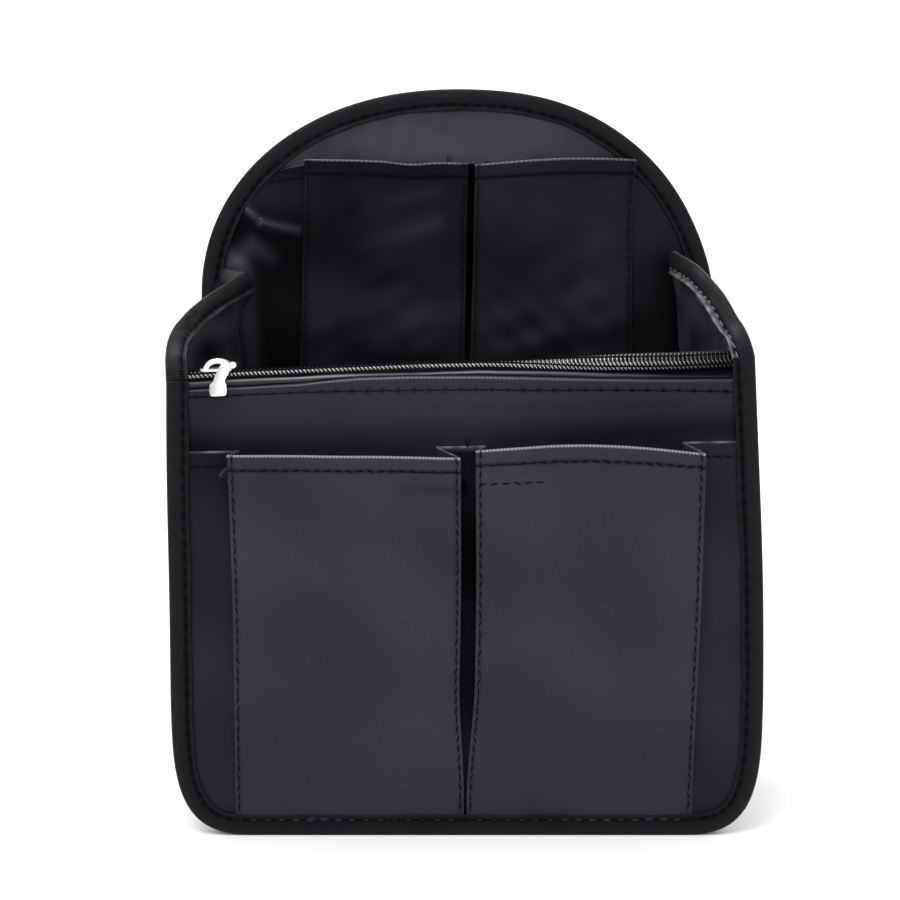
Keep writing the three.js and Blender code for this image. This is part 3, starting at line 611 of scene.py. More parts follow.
def repeat_tree(name, shape):
    """A tree that repeats a small shape along guide lines and gives it a material."""
    tree = bpy.data.node_groups.new(name, "GeometryNodeTree")
    tree.interface.new_socket("Guide", in_out="INPUT", socket_type="NodeSocketGeometry")
    for key, value in REPEAT_INPUTS.items():
        socket = tree.interface.new_socket(key, in_out="INPUT", socket_type="NodeSocketFloat")
        socket.default_value = value
    tree.interface.new_socket("Finish", in_out="INPUT", socket_type="NodeSocketMaterial")
    tree.interface.new_socket("Pieces", in_out="OUTPUT", socket_type="NodeSocketGeometry")
    n = Nodes(tree)
    given = n.add("NodeGroupInput").outputs
    line = n.add("GeometryNodeMeshToCurve", {"Mesh": given["Guide"]}).outputs["Curve"]
    even = n.add("GeometryNodeResampleCurve", {"Curve": line, "Length": given["Spacing"]},
                 mode="LENGTH").outputs["Curve"]
    tangent = n.add("GeometryNodeInputTangent").outputs["Tangent"]
    out = n.add("GeometryNodeInputNamedAttribute", {"Name": "out"}, data_type="FLOAT_VECTOR")
    turned = n.add("FunctionNodeAxesToRotation",
                   {"Primary Axis": out.outputs[0], "Secondary Axis": tangent},
                   primary_axis="Z", secondary_axis="X").outputs["Rotation"]
    jitter = n.add("FunctionNodeRandomValue", {"Seed": 5}, data_type="FLOAT")
    minus = n.math("MULTIPLY", given["Scatter"], -1.0)
    for key, limit in (("Min", minus), ("Max", given["Scatter"])):
        n.link(limit, [s for s in jitter.inputs if s.name == key and s.type == "VALUE"][0])
    random_turn = [s for s in jitter.outputs if s.type == "VALUE"][0]
    spin = n.add("ShaderNodeCombineXYZ", {"Z": n.math("ADD", random_turn, given["Slant"])})
    spun = n.add("FunctionNodeRotateRotation", {"Rotation": turned, "Rotate By": spin.outputs[0]},
                 rotation_space="LOCAL").outputs["Rotation"]
    if shape == "stitch":
        ball = n.add("GeometryNodeMeshUVSphere", {"Segments": 6, "Rings": 6, "Radius": 1.0})
        size = n.add("ShaderNodeCombineXYZ", {
            "X": n.math("MULTIPLY", given["Length"], 0.5), "Y": given["Thickness"],
            "Z": given["Height"]})
        item = n.add("GeometryNodeTransform", {
            "Geometry": ball.outputs["Mesh"], "Scale": size.outputs[0]}).outputs["Geometry"]
    else:
        ring = n.add("GeometryNodeCurvePrimitiveCircle", {"Resolution": 12, "Radius": 1.0})
        size = n.add("ShaderNodeCombineXYZ", {
            "X": n.math("MULTIPLY", given["Length"], 0.5), "Y": given["Height"], "Z": 1.0})
        oval = n.add("GeometryNodeTransform", {
            "Geometry": ring.outputs["Curve"], "Scale": size.outputs[0]}).outputs["Geometry"]
        wire = n.add("GeometryNodeCurvePrimitiveCircle", {"Resolution": 6,
                                                          "Radius": given["Thickness"]})
        loop = n.add("GeometryNodeCurveToMesh", {"Curve": oval,
                                                 "Profile Curve": wire.outputs["Curve"]})
        upright = n.add("ShaderNodeCombineXYZ", {
            "X": n.math("ADD", given["Lean"], math.pi / 2), "Z": math.pi / 2})
        item = n.add("GeometryNodeTransform", {
            "Geometry": loop.outputs["Mesh"], "Rotation": upright.outputs[0]}).outputs["Geometry"]
    many = n.add("GeometryNodeInstanceOnPoints", {
        "Points": even, "Instance": item, "Rotation": spun}).outputs["Instances"]
    real = n.add("GeometryNodeRealizeInstances", {"Geometry": many}).outputs["Geometry"]
    smoothed = n.add("GeometryNodeSetShadeSmooth", {"Geometry": real}).outputs[0]
    done = n.add("GeometryNodeSetMaterial", {"Geometry": smoothed, "Material": given["Finish"]})
    n.add("NodeGroupOutput", {"Pieces": done.outputs["Geometry"]})
    return tree


def guide_mesh(name, lines):
    """A mesh of loose lines, each with the way out of the cloth stored along it."""
    points, edges, outs = [], [], []
    for line, out in lines:
        first = len(points)
        points.extend(line.tolist())
        outs.append(np.broadcast_to(out, line.shape))
        edges.extend((first + i, first + i + 1) for i in range(len(line) - 1))
    mesh = bpy.data.meshes.new(name)
    mesh.from_pydata(points, edges, [])
    layer = mesh.attributes.new("out", "FLOAT_VECTOR", "POINT")
    layer.data.foreach_set("vector", np.concatenate(outs).astype(np.float32).ravel())
    return mesh


def repeat_along(name, lines, shape, finish, slot, body=None, node=None, **sizes):
    """Repeats stitches or coil loops along lines, as one plain mesh."""
    tree_name = f"{shape} row"
    tree = bpy.data.node_groups.get(tree_name) or repeat_tree(tree_name, shape)
    guide = put(name + "_guide", guide_mesh(name + "_guide", lines))
    modifier = guide.modifiers.new("repeat", "NODES")
    modifier.node_group = tree
    values = {**REPEAT_INPUTS, **{key.title(): value for key, value in sizes.items()}}
    values["Finish"] = material_named(finish)
    for item in tree.interface.items_tree:
        if item.item_type == "SOCKET" and item.in_out == "INPUT" and item.name in values:
            modifier[item.identifier] = values[item.name]
    mesh = evaluated_mesh(guide)
    mesh.name = name
    bpy.data.objects.remove(guide)
    for attribute in [a.name for a in mesh.attributes if a.name in ("out", "UVMap")]:
        mesh.attributes.remove(mesh.attributes[attribute])
    if not len(mesh.polygons):
        raise RuntimeError(f"{name} came out empty")
    show(name, mesh, finish, body, node)


def stitches(name, lines, pitch, body=None, slot="binding_tape", finish="thread", share=0.82,
             scatter=0.12):
    """Lockstitches along lines on a cloth's face."""
    radius = bpy.context.scene.organiser_sizes.thread_radius
    repeat_along(name, lines, "stitch", finish, slot, body, spacing=pitch, length=pitch * share,
                 height=radius, thickness=radius * 1.15, scatter=scatter)


# Edge tapes

TAPE_LEG = 7.5 * MM
TAPE_SEAM = 5.4 * MM
TAPE_CORNER = 1.3 * MM
TAPE_BULGE = 0.32 * MM
TAPE_LIP = 0.28 * MM
SEAM_REACH = 1.1 * MM
SEAM_SUNK = 0.02 * MM
SEAM_PUCKER = 0.10 * MM
TAPE_ROLL = 0.16 * MM
TAPE_RIPPLE = 0.09 * MM
FRONT_TAPE_TOP = 165.5 * MM
CALM_LENGTH = 9 * MM
# Painted shade along the tape's seam, and painted highlights along its rim and at a spot near its start
TAPE_SEAM_SHADE = 0.85
RIM_TONE = 0.3
RIM_SHINE_AT = 0.5 * MM
RIM_SHINE_REACH = 0.9 * MM
TIP_SHINE_AT = (11 * MM, 2.6 * MM)
TIP_SHINE_REACH = (4 * MM, 2 * MM)
LEG_INSETS = np.concatenate([
    np.linspace(0, 4.4 * MM, 8, endpoint=False), np.linspace(4.4 * MM, TAPE_LEG, 10)])


def tape_sheet(path, leg, out, half, seed, pitch, calm, lip_tone, slack=0.0, shine=0.0):
    """Tape folded over an edge: a leg on each side, puckered by its seam.

    path is the edge, leg points from it into the cloth and out from the cloth to the front leg.
    calm is 0 where the tape lies still and 1 where it ripples freely.
    """
    along = path_lengths(path)[None, :]
    corner = np.minimum(TAPE_CORNER, 0.85 * half)[None, :]
    half = np.broadcast_to(half, along.shape[1:])[None, :]
    insets = LEG_INSETS[:, None]
    seam = bell(insets - TAPE_SEAM, SEAM_REACH)
    lip = np.clip((insets - TAPE_SEAM) / (TAPE_LEG - TAPE_SEAM), 0, 1)

    def leg_rows(side_seed):
        puff = TAPE_BULGE * np.sin(math.pi * np.clip(insets / TAPE_SEAM, 0, 1)) ** 0.8
        pucker = SEAM_PUCKER * seam * (np.cos(2 * math.pi * along / pitch) - 1.5)
        slow = waves(along, insets * 2, side_seed, 34 * MM)
        quick = waves(along, insets, side_seed + 1, 9 * MM)
        rolling = (TAPE_ROLL * slow + TAPE_RIPPLE * quick) * smooth(insets / (2.5 * MM)) * calm
        rise = half + slack + puff + pucker * calm + rolling * (1 - 0.7 * seam)
        curl = waves(along, insets, side_seed + 2, 14 * MM) * calm
        rise = rise + lip * TAPE_LIP * (1 + 0.35 * curl)
        sway = waves(along, insets * 0, side_seed + 3, 26 * MM) * calm
        reach = insets + corner * (1 - insets / TAPE_LEG) + TAPE_ROLL * lip * sway - slack
        needle = 0.5 - 0.5 * np.cos(2 * math.pi * along / pitch)
        lip_highlight_waves = 0.75 + 0.35 * waves(along, insets, side_seed + 4, 5 * MM)
        # Painted highlight on the lip, uneven along the tape, and painted shade along the seam and its
        # needle holes
        tone = lip_tone * lip * lip_highlight_waves - TAPE_SEAM_SHADE * seam * (0.4 + 0.6 * needle)
        tone = tone + RIM_TONE * bell(insets - RIM_SHINE_AT, RIM_SHINE_REACH)
        glow = shine * bell(insets - TIP_SHINE_AT[1], TIP_SHINE_REACH[1])
        tone = tone + glow * bell(along - TIP_SHINE_AT[0], TIP_SHINE_REACH[0])
        return reach, rise, tone

    front_reach, front_rise, front_tone = leg_rows(seed)
    back_reach, back_rise, back_tone = leg_rows(seed + 10)
    turn = np.linspace(0, math.pi / 2, 7)[1:-1, None]
    front_turn = (corner * (1 - np.sin(turn)) - slack, half + slack - corner * (1 - np.cos(turn)))
    flat = np.linspace(1, -1, 6)[:, None]
    fold = (SEAM_PUCKER * (flat**2 - 1) + 0 * half - slack, flat * (half + slack - corner))
    back_turn = (front_turn[0][::-1], -front_turn[1][::-1])
    reach = np.concatenate([front_reach[::-1], front_turn[0], fold[0], back_turn[0], back_reach])
    rise = np.concatenate([front_rise[::-1], front_turn[1], fold[1], back_turn[1], -back_rise])
    grid = path[None] + leg[None] * reach[..., None] + out[None] * rise[..., None]
    # The fold's rows carry the rim's painted highlight
    rim_tone = np.full((len(reach) - 2 * len(insets), along.shape[1]), RIM_TONE)
    tone = np.concatenate([front_tone[::-1], rim_tone, back_tone])
    thick = np.full(len(reach), TAPE)
    thick[0] = thick[-1] = 1.25 * TAPE
    return Sheet(slouched(grid), thick[:, None], tone)


def seam_lines(sheet):
    """Guide lines for the seam on the front leg and on the back leg of a tape."""
    row = len(LEG_INSETS) - 1 - int(np.argmin(abs(LEG_INSETS - TAPE_SEAM)))
    columns = np.arange(2, sheet.grid.shape[1] - 2)
    mirrored = sheet.grid.shape[0] - 1 - row
    lines = []
    for index, other in ((row, mirrored), (mirrored, row)):
        away = sheet.grid[index, columns] - sheet.grid[other, columns]
        side = np.sign((sheet.normal[index, columns] * away).sum(-1).mean())
        lines.append(sheet.line(index, columns, side, -SEAM_SUNK))
    return lines


def front_edge_path():
    """The front panel's edge, from its left top down, round its foot and up to its right top."""
    right = right_line(FRONT_TAPE_TOP)
    left = right[::-1] * (-1, 1)
    return evenly(np.concatenate([left, right]), 0.9 * MM)


def back_edge_path():
    """The back panel's edge, from the middle of its foot round to the same place."""
    right = right_line(BACK_TOP)
    left = right[::-1] * (-1, 1)
    return evenly(np.concatenate([[[0, 0]], right, left[1:], [[0, 0]]]), 0.95 * MM)


def upright_tape(path, middle, half, seed, pitch):
    """A tape round an upright panel's edge."""
    tangent = unit(np.gradient(path, axis=0))
    count = len(path)
    points = np.stack([path[:, 0], np.full(count, middle), path[:, 1]], -1)
    leg = np.stack([-tangent[:, 1], np.zeros(count), tangent[:, 0]], -1)
    out = np.broadcast_to([0.0, -1.0, 0.0], points.shape)
    along = path_lengths(points)
    calm = smooth(np.minimum(along, along[-1] - along) / CALM_LENGTH)
    return tape_sheet(points, leg, out, np.full(count, half), seed, pitch, calm, 0.25)


# Edge of each side wall's tape, from the top of the front tape back to the back tape
WALL_EDGES = {
    -1: np.array([
        (99.94, 3.42, 164.9), (100.1, 4.4, 168.4), (100.6, 7.5, 173.6), (100.3, 12.7, 178.7),
        (99.0, 18.4, 182.7), (97.2, 22.4, 185.2), (94.6, 28.0, 188.3), (90.3, 36.0, 191.9),
        (84.3, 46.9, 195.8), (78.9, 57.2, 199.0)]) * MM,
    1: np.array([
        (99.94, 3.42, 164.9), (99.2, 4.2, 168.3), (98.2, 6.0, 171.9), (97.0, 8.7, 174.9),
        (95.5, 12.0, 177.6), (93.1, 19.2, 183.2), (91.0, 26.0, 187.1), (86.4, 39.9, 193.5),
        (82.4, 50.0, 196.8), (79.5, 57.2, 198.6)]) * MM,
}
WALL_TIPS = {-1: np.array([77.4, 60.0, 199.7]) * MM, 1: np.array([78.8, 60.0, 199.3]) * MM}
TIP_LEANS = {-1: -0.37, 1: -0.05}
# Strength of the painted highlight on each wall tape's lip
WALL_LIP_TONES = {-1: 1.5, 1: 14.0}
WALL_TAPE_HALF = 0.85 * MM
WALL_TAPE_THINS = 15 * MM
WALL_STITCH_SHARE = 0.8
CREASE_Y = 60 * MM
WALL_EDGE_BACK = np.array([(80.4, 63.0, 199.2), (84.4, 72.0, 198.2), (89.0, 81.3, 196.2)]) * MM


def wall_edge_line(side):
    """The top edge of a side wall, as if on the right, with its fold at the crease."""
    front = curve_through(WALL_EDGES[side], 0.8 * MM)
    back = curve_through(WALL_EDGE_BACK, 0.8 * MM)
    share = np.linspace(0, 1, 7)[1:-1, None]
    turn = bent(front[-1], WALL_TIPS[side], back[0], share)
    return np.concatenate([front, turn, back])


def wall_edge(side):
    """A side wall's top edge, the way along it and the way from it into its tape."""
    path = wall_edge_line(side)
    along = path_lengths(path)
    tangent = unit(np.gradient(path, axis=0))
    facing = unit(tangent * (1.0, 0.0, 1.0))[:, [2, 1, 0]] * (-1.0, 0.0, 1.0)
    tip = float(np.interp(CREASE_Y, path[:, 1], along))
    near_tip = smooth((along - tip + 13 * MM) / (11 * MM))[:, None]
    past_tip = smooth((along - tip) / (8 * MM))[:, None]
    leaning = unit(np.array([TIP_LEANS[side], 0.0, -1.0]))
    hanging = leaning * (1 - past_tip) + (0.0, 0.0, -1.0) * past_tip
    into = facing * (1 - near_tip) + hanging * near_tip
    into = unit(into - tangent * (into * tangent).sum(-1, keepdims=True))
    return path, tangent, into


def wall_tape(side, seed, pitch):
    """The tape on a side wall's top edge, which carries on from the front panel's tape."""
    path, tangent, into = wall_edge(side)
    along = path_lengths(path)
    out = unit(np.cross(tangent, into))
    thin = smooth(along / WALL_TAPE_THINS)
    half = FRONT_TAPE_HALF * (1 - thin) + WALL_TAPE_HALF * thin
    flip = np.array([side, 1.0, 1.0])
    calm = 1.5 * smooth(along / CALM_LENGTH)
    return tape_sheet(path * flip, into * flip, out * flip, half, seed, pitch, calm,
                      WALL_LIP_TONES[side], slack=0.05 * MM, shine=1.6)


# Flat panels of cloth

def panel_rows(bottom, top, step):
    """Heights an even step apart from a bottom to a top."""
    return np.linspace(bottom, top, int(round((top - bottom) / step)) + 1)


def panel_points(depth, top, seed, swell, outline_top=BACK_TOP):
    """Places of a cloth that fills a panel's outline at one depth, with soft waves."""
    heights = panel_rows(LAYER_FOOT, top, 1.8 * MM)
    halves = inset_halves(heights, LAYER_INSET, outline_top)
    x = halves[:, None] * np.linspace(-1, 1, 121)[None]
    z = np.broadcast_to(heights[:, None], x.shape)
    y = depth + swell * waves(x, z, seed, 46 * MM) + 0.35 * swell * waves(x, z, seed + 1, 15 * MM)
    return x, y, z


# Painted sheen on the lining above the pockets, with painted shade towards both sides
ARCH_SHINE = 1.15
ARCH_SHINE_Z = 226 * MM
ARCH_SHADE_LEFT = 0.26
ARCH_SHADE_RIGHT = 0.5


def arch_lining():
    """The back panel's lining, which shines where it shows above its pockets."""
    x, y, z = panel_points(BACK_LINING_DEPTH, BACK_LAYER_TOP, 41, 0.3 * MM)
    shine = smooth((z - ARCH_SHINE_Z) / (10 * MM)) * (1.0 + 0.3 * waves(x + z, z, 44, 80 * MM))
    right = ARCH_SHADE_RIGHT * smooth((x - 27 * MM) / (20 * MM))
    left = ARCH_SHADE_LEFT * smooth((-25 * MM - x) / (30 * MM))
    return plain_sheet(x, y, z, ARCH_SHINE * np.maximum(shine * (1 - right - left), 0))


HEM_FOLD = 0.55 * MM
COVER_HEM = 8 * MM
COVER_TOP = 160 * MM
COVER_DROOPS_FROM = 128 * MM
COVER_STITCH_DROP = 4.0 * MM
COVER_STITCH_PITCH = 5.3 * MM
COVER_X = np.array([-96, -72, -55, -46, -34, -17, 7, 27, 48, 75, 93]) * MM
COVER_EDGE_Z = np.array([161.5, 161.8, 162.1, 162.8, 163.4, 163.2, 162.2, 160.9, 159.5, 158.1, 157.6]) * MM
COVER_DROP_SHARES = np.array([0.5, 0.55, 0.62, 0.8, 1.02, 1.07, 1.03, 1.0, 0.84, 0.82, 0.95])
COVER_GLINT = 6.2
COVER_FORWARD = 0.75 * MM
COVER_ROLL = 0.28 * MM
COVER_RIPPLE = 0.06 * MM
COVER_TWILL_PITCH = 1.5 * MM
COVER_EDGE_BULGE = 0.1 * MM
# Painted shade along the seam, a painted shadow above the pockets, painted shade at the sides and a painted
# sheen in the middle
COVER_SEAM_SHADE = 0.8
COVER_SHADE = 0.2
COVER_SHADE_LEFT = 0.22
COVER_SHADE_RIGHT = 0.12
COVER_SHINE_MIDDLE = 0.12
POCKET_SHADE = 0.4
POCKET_SHADE_Z = 141.5 * MM


def fold_over(x, y, z, hem, forward):
    """Adds rows that turn a cloth over its top edge and down behind itself."""
    turn = np.linspace(0, math.pi, 8)[1:, None]
    over_y = y[-1][None] + forward * (1 - np.cos(turn)) / 2
    over_z = z[-1][None] + forward / 2 * np.sin(turn)
    drops = np.arange(1 * MM, hem, 1 * MM)[:, None]
    down_y = (y[-1] + forward)[None] + 0 * drops
    down_z = z[-1][None] - drops
    more_x = np.broadcast_to(x[-1], (len(turn) + len(drops), x.shape[1]))
    return (np.concatenate([x, more_x]), np.concatenate([y, over_y, down_y]),
            np.concatenate([z, over_z, down_z]))


def cover_sheet():
    """The front panel's outer cloth, turned over at its top edge, and the row of its stitches."""
    low = panel_rows(LAYER_FOOT, COVER_DROOPS_FROM, 3.5 * MM)[:-1]
    heights = np.concatenate([low, np.linspace(COVER_DROOPS_FROM, COVER_TOP, 56)])
    halves = inset_halves(heights, LAYER_INSET, FRONT_OUTLINE_TOP)
    x = halves[:, None] * np.linspace(-1, 1, 261)[None]
    edge = np.interp(x, COVER_X, COVER_EDGE_Z)
    stretch = smooth((heights[:, None] - COVER_DROOPS_FROM) / (COVER_TOP - COVER_DROOPS_FROM))
    below = COVER_TOP - heights[:, None]
    near = 1 - smooth((below - 6 * MM) / (16 * MM))
    drop = 1 + near * (np.interp(x, COVER_X, COVER_DROP_SHARES) - 1)
    z = COVER_TOP + (edge - COVER_TOP) * stretch - below * drop
    forward = COVER_FORWARD * smooth((12 * MM - below) / (5 * MM))
    y = COVER_DEPTH - forward + COVER_ROLL * waves(x, z, 31, 52 * MM) * smooth(below / (12 * MM))
    y = y + COVER_RIPPLE * waves(x, z, 32, 11 * MM)
    hole = np.cos(2 * math.pi * x / COVER_STITCH_PITCH) * 0.5 + 0.5
    seam = bell(below - COVER_STITCH_DROP, 0.8 * MM)
    y = y + seam * (0.12 + 0.2 * hole**6) * MM
    y = y - COVER_EDGE_BULGE * bell(below - 1.2 * MM, 1.6 * MM)
    # Painted highlight along the top fold in twill dashes, and painted shade along the seam and its holes,
    # above the pockets and towards both sides
    twill = 0.7 + 0.3 * np.cos(2 * math.pi * x / COVER_TWILL_PITCH)
    glint = COVER_GLINT * bell(x + 18 * MM, 85 * MM) * bell(below, 0.3 * MM) * twill
    tone = glint - COVER_SEAM_SHADE * seam * (0.15 + 0.85 * hole**3)
    tone = tone - POCKET_SHADE * bell(z - POCKET_SHADE_Z, 6 * MM) - COVER_SHADE
    tone = tone - COVER_SHADE_RIGHT * smooth(x / (60 * MM))
    tone = tone + COVER_SHINE_MIDDLE * bell(x - 5 * MM, 40 * MM)
    tone = tone - COVER_SHADE_LEFT * smooth((-70 * MM - x) / (20 * MM))
    x, y, z = fold_over(x, y, z, COVER_HEM, HEM_FOLD + 0.35 * MM)
    tone = np.concatenate([tone, np.zeros((len(x) - len(tone), x.shape[1]))])
    return plain_sheet(x, y, z, tone), int(np.argmin(abs(below[:, 0] - COVER_STITCH_DROP)))


# Pleated pocket bands

# Sizes of a band: two faces that stand open in front of flat strips. Pairs run from the foot to the
# top, or from left to right. A ridge has its start, end, height, width and shine.
# glint, the ridges' shine, tones and top_tones set painted highlights and painted shade
FRONT_POCKET = SimpleNamespace(
    depth=1.0 * MM, top=138.5 * MM, slit=(0.12 * MM, 2.4 * MM), slit_opens=0.36,
    centre=(-0.9 * MM, 2.1 * MM), left=(-82.3 * MM, -79.5 * MM), right=(79.5 * MM, 82.4 * MM),
    pleats=np.array([3.0, 8.4, 3.6, 6.8]) * MM, bulge=8.3 * MM,
    droops=np.array([0.3, 2.8, 0.5, 3.0]) * MM, arch=(0.3 * MM, 2.6 * MM), hem=4.9 * MM,
    swell=0.6 * MM, seed=51, outline_top=FRONT_OUTLINE_TOP, level=0.45, strip_fall=(0.0, 0.0),
    glint=11.0, tuck=6.4 * MM, dip=0.0, ridges=(
        ((-1 * MM, 124.5 * MM), (-20 * MM, 126 * MM), -0.6 * MM, 2.2 * MM, -0.3),
        ((-66 * MM, 104 * MM), (-48 * MM, 94 * MM), 0.5 * MM, 4 * MM, 0.1),
        ((8 * MM, 66 * MM), (24 * MM, 72 * MM), 0.5 * MM, 4 * MM, 0.1)),
    counts=(16, 9, 190, 9, 16, 9, 190, 9, 16), low_step=2.3 * MM, fine_from=126.5 * MM, fine_step=0.5 * MM,
    tones=(-0.4, 0.03, 0.03, -0.38), top_tones=(-0.28, 0.0, 0.0, 0.0))
BACK_POCKET = SimpleNamespace(
    depth=83.75 * MM, top=235.6 * MM, slit=(0.12 * MM, 1.0 * MM), slit_opens=1.0,
    centre=(-2.5 * MM, 5.9 * MM), left=(-70 * MM, -56.7 * MM), right=(62 * MM, 68.2 * MM),
    pleats=np.array([3.0, 5.0, 5.0, 3.0]) * MM, bulge=5.6 * MM,
    droops=np.array([-1.7, 0.6, 1.2, 0.4]) * MM, arch=(0.3 * MM, 0.8 * MM), hem=4.9 * MM,
    swell=0.7 * MM, seed=71, outline_top=BACK_TOP, level=0.0, strip_fall=(3.0 * MM, 1.2 * MM),
    glint=9.0, tuck=0.0, dip=1.0 * MM, ridges=(
        ((-84 * MM, 198 * MM), (-81 * MM, 160 * MM), 0.1 * MM, 4.5 * MM, 3.2),
        ((-80 * MM, 226 * MM), (-60 * MM, 224 * MM), 0.1 * MM, 8 * MM, 0.5),
        ((-79 * MM, 224.5 * MM), (-79.5 * MM, 218.5 * MM), 0.8 * MM, 0.9 * MM, 2.5),
        ((-79.5 * MM, 218.5 * MM), (-74 * MM, 213.5 * MM), 0.8 * MM, 0.9 * MM, 2.5),
        ((-74 * MM, 213.5 * MM), (-60 * MM, 210.5 * MM), 0.9 * MM, 1.5 * MM, 1.6),
        ((-79 * MM, 205 * MM), (-72 * MM, 200 * MM), 0.6 * MM, 3.5 * MM, 1.0),
        ((-8 * MM, 213 * MM), (-34 * MM, 206 * MM), 0.2 * MM, 3.5 * MM, 0.35),
        ((-8 * MM, 225 * MM), (-24 * MM, 222 * MM), 0.2 * MM, 2.5 * MM, 0.3),
        ((56 * MM, 206 * MM), (38 * MM, 197 * MM), 0.2 * MM, 4.5 * MM, 0.2)),
    counts=(34, 9, 84, 9, 16, 9, 84, 9, 20), low_step=5 * MM, fine_from=150 * MM, fine_step=1.05 * MM,
    tones=(-0.68, 0.04, 0.07, -0.5), top_tones=(-0.1, -0.68, -0.48, 0.1))
PLEAT_LAYER = 0.37 * MM
PLEAT_ROUND = 0.8 * MM
BAND_FOOT = 4 * MM
SLIT_CLOSES = 12 * MM
TUCK_DROPS = np.array([0.8, 8.2, 10.6]) * MM
EDGE_STITCH_INSET = 1.35 * MM
HEM_ZONE = 12 * MM
HEM_STEP = 0.16 * MM
HEM_CREASE = 0.14 * MM
BAND_INSET = 4 * MM
FACE_PUFF = 0.9 * MM
STITCH_TUCK = 0.15 * MM
STRIP_RELIEF = 0.1 * MM
TWILL_PITCH = 1.2 * MM
POCKET_NEEDLE = 3.5 * MM
BAND_TONE_DRIFT = 0.09
# Painted shade at the foot, along the seams and in the slit, and painted highlights on the tuck and along
# the faces' edges
BAND_FOOT_SHADE = 0.2
TUCK_SHINE = 2.5
HEM_SEAM_SHADE = 0.75
EDGE_SEAM_SHADE = 0.5
EDGE_SHINE = 0.1
SLIT_SHADE = 0.88


def ridge(x, z, start, end, width):
    """A soft ridge of height one from one place to another."""
    along = np.array(end) - np.array(start)
    share = ((x - start[0]) * along[0] + (z - start[1]) * along[1]) / (along @ along)
    nearest = np.clip(share, 0, 1)
    away = np.hypot(x - start[0] - nearest * along[0], z - start[1] - nearest * along[1])
    return bell(away, width) * (1 - 0.5 * nearest)


def run_round(corners, counts, radius, bend=4):
    """Rows of points along straight runs between corners, each corner rounded.

    corners has the shape (rows, corners, 3) and counts the points of each run. The marks that
    come back say in which column each inner corner lies.
    """
    parts, marks, starts, ends = [], [], [], []
    total = 0
    number = corners.shape[1]
    for k in range(number - 1):
        run = corners[:, k + 1] - corners[:, k]
        length = np.linalg.norm(run, axis=-1, keepdims=True)
        cut = np.minimum(radius, 0.42 * length)
        way = run / np.maximum(length, 1e-9)
        starts.append(corners[:, k] + way * cut if k else corners[:, k])
        ends.append(corners[:, k + 1] - way * cut if k < number - 2 else corners[:, k + 1])
    for k in range(number - 1):
        share = np.linspace(0, 1, counts[k])[None, :, None]
        parts.append(between_ends((starts[k][:, None], ends[k][:, None]), share))
        total += counts[k]
        if k < number - 2:
            share = np.linspace(0, 1, bend + 2)[None, 1:-1, None]
            corner = corners[:, k + 1][:, None]
            parts.append(bent(ends[k][:, None], corner, starts[k + 1][:, None], share))
            marks.append(total + bend // 2)
            total += bend
    return np.concatenate(parts, axis=1), marks


def pocket_corners(p, heights, share, folded):
    """Where the band turns at each height: its ends, its pleats' folds and its faces' edges."""
    slit = between_ends(p.slit, smooth(share / p.slit_opens))
    middle, left, right = (between_ends(pair, share) for pair in (p.centre, p.left, p.right))
    edge = inset_halves(heights, BAND_INSET, p.outline_top)
    out = p.depth - 2 * PLEAT_LAYER - p.bulge * share**1.15
    between = p.depth - PLEAT_LAYER * (1 - share)
    flat = np.full(len(heights), p.depth)
    places = (
        (-edge, flat, p.strip_fall[0]), (left + p.pleats[0] - p.tuck * folded, between, 0),
        (left, out, p.droops[0]), (middle - slit, out, p.droops[1]),
        (middle - slit - p.pleats[1], between, 0), (middle + slit + p.pleats[2], between, 0),
        (middle + slit, out, p.droops[2]), (right, out, p.droops[3]),
        (right - p.pleats[3], between, 0), (edge, flat, p.strip_fall[1]))
    return np.stack([np.stack([x, y, heights - drop * share**3], -1) for x, y, drop in places], 1)


def turned_over(upright, tone):
    """Adds the rows of a narrow fold along a band's top, and their tones."""
    outwards = unit(np.cross(np.gradient(upright, axis=1), np.gradient(upright, axis=0)))
    up = unit(upright[-1] - upright[-2])
    turn = np.linspace(0, math.pi, 7)[1:, None, None]
    over = (upright[-1][None] - outwards[-1][None] * HEM_FOLD * (1 - np.cos(turn)) / 2
            + up[None] * HEM_FOLD / 2 * np.sin(turn))
    behind = upright[-2:-10:-2] - outwards[-2:-10:-2] * HEM_FOLD
    over_tone = tone[-1:] * np.linspace(0.8, 0, len(over))[:, None]
    tone = np.concatenate([tone, over_tone, np.zeros(behind.shape[:2])])
    return Sheet(slouched(np.concatenate([upright, over, behind])), CLOTH, tone)


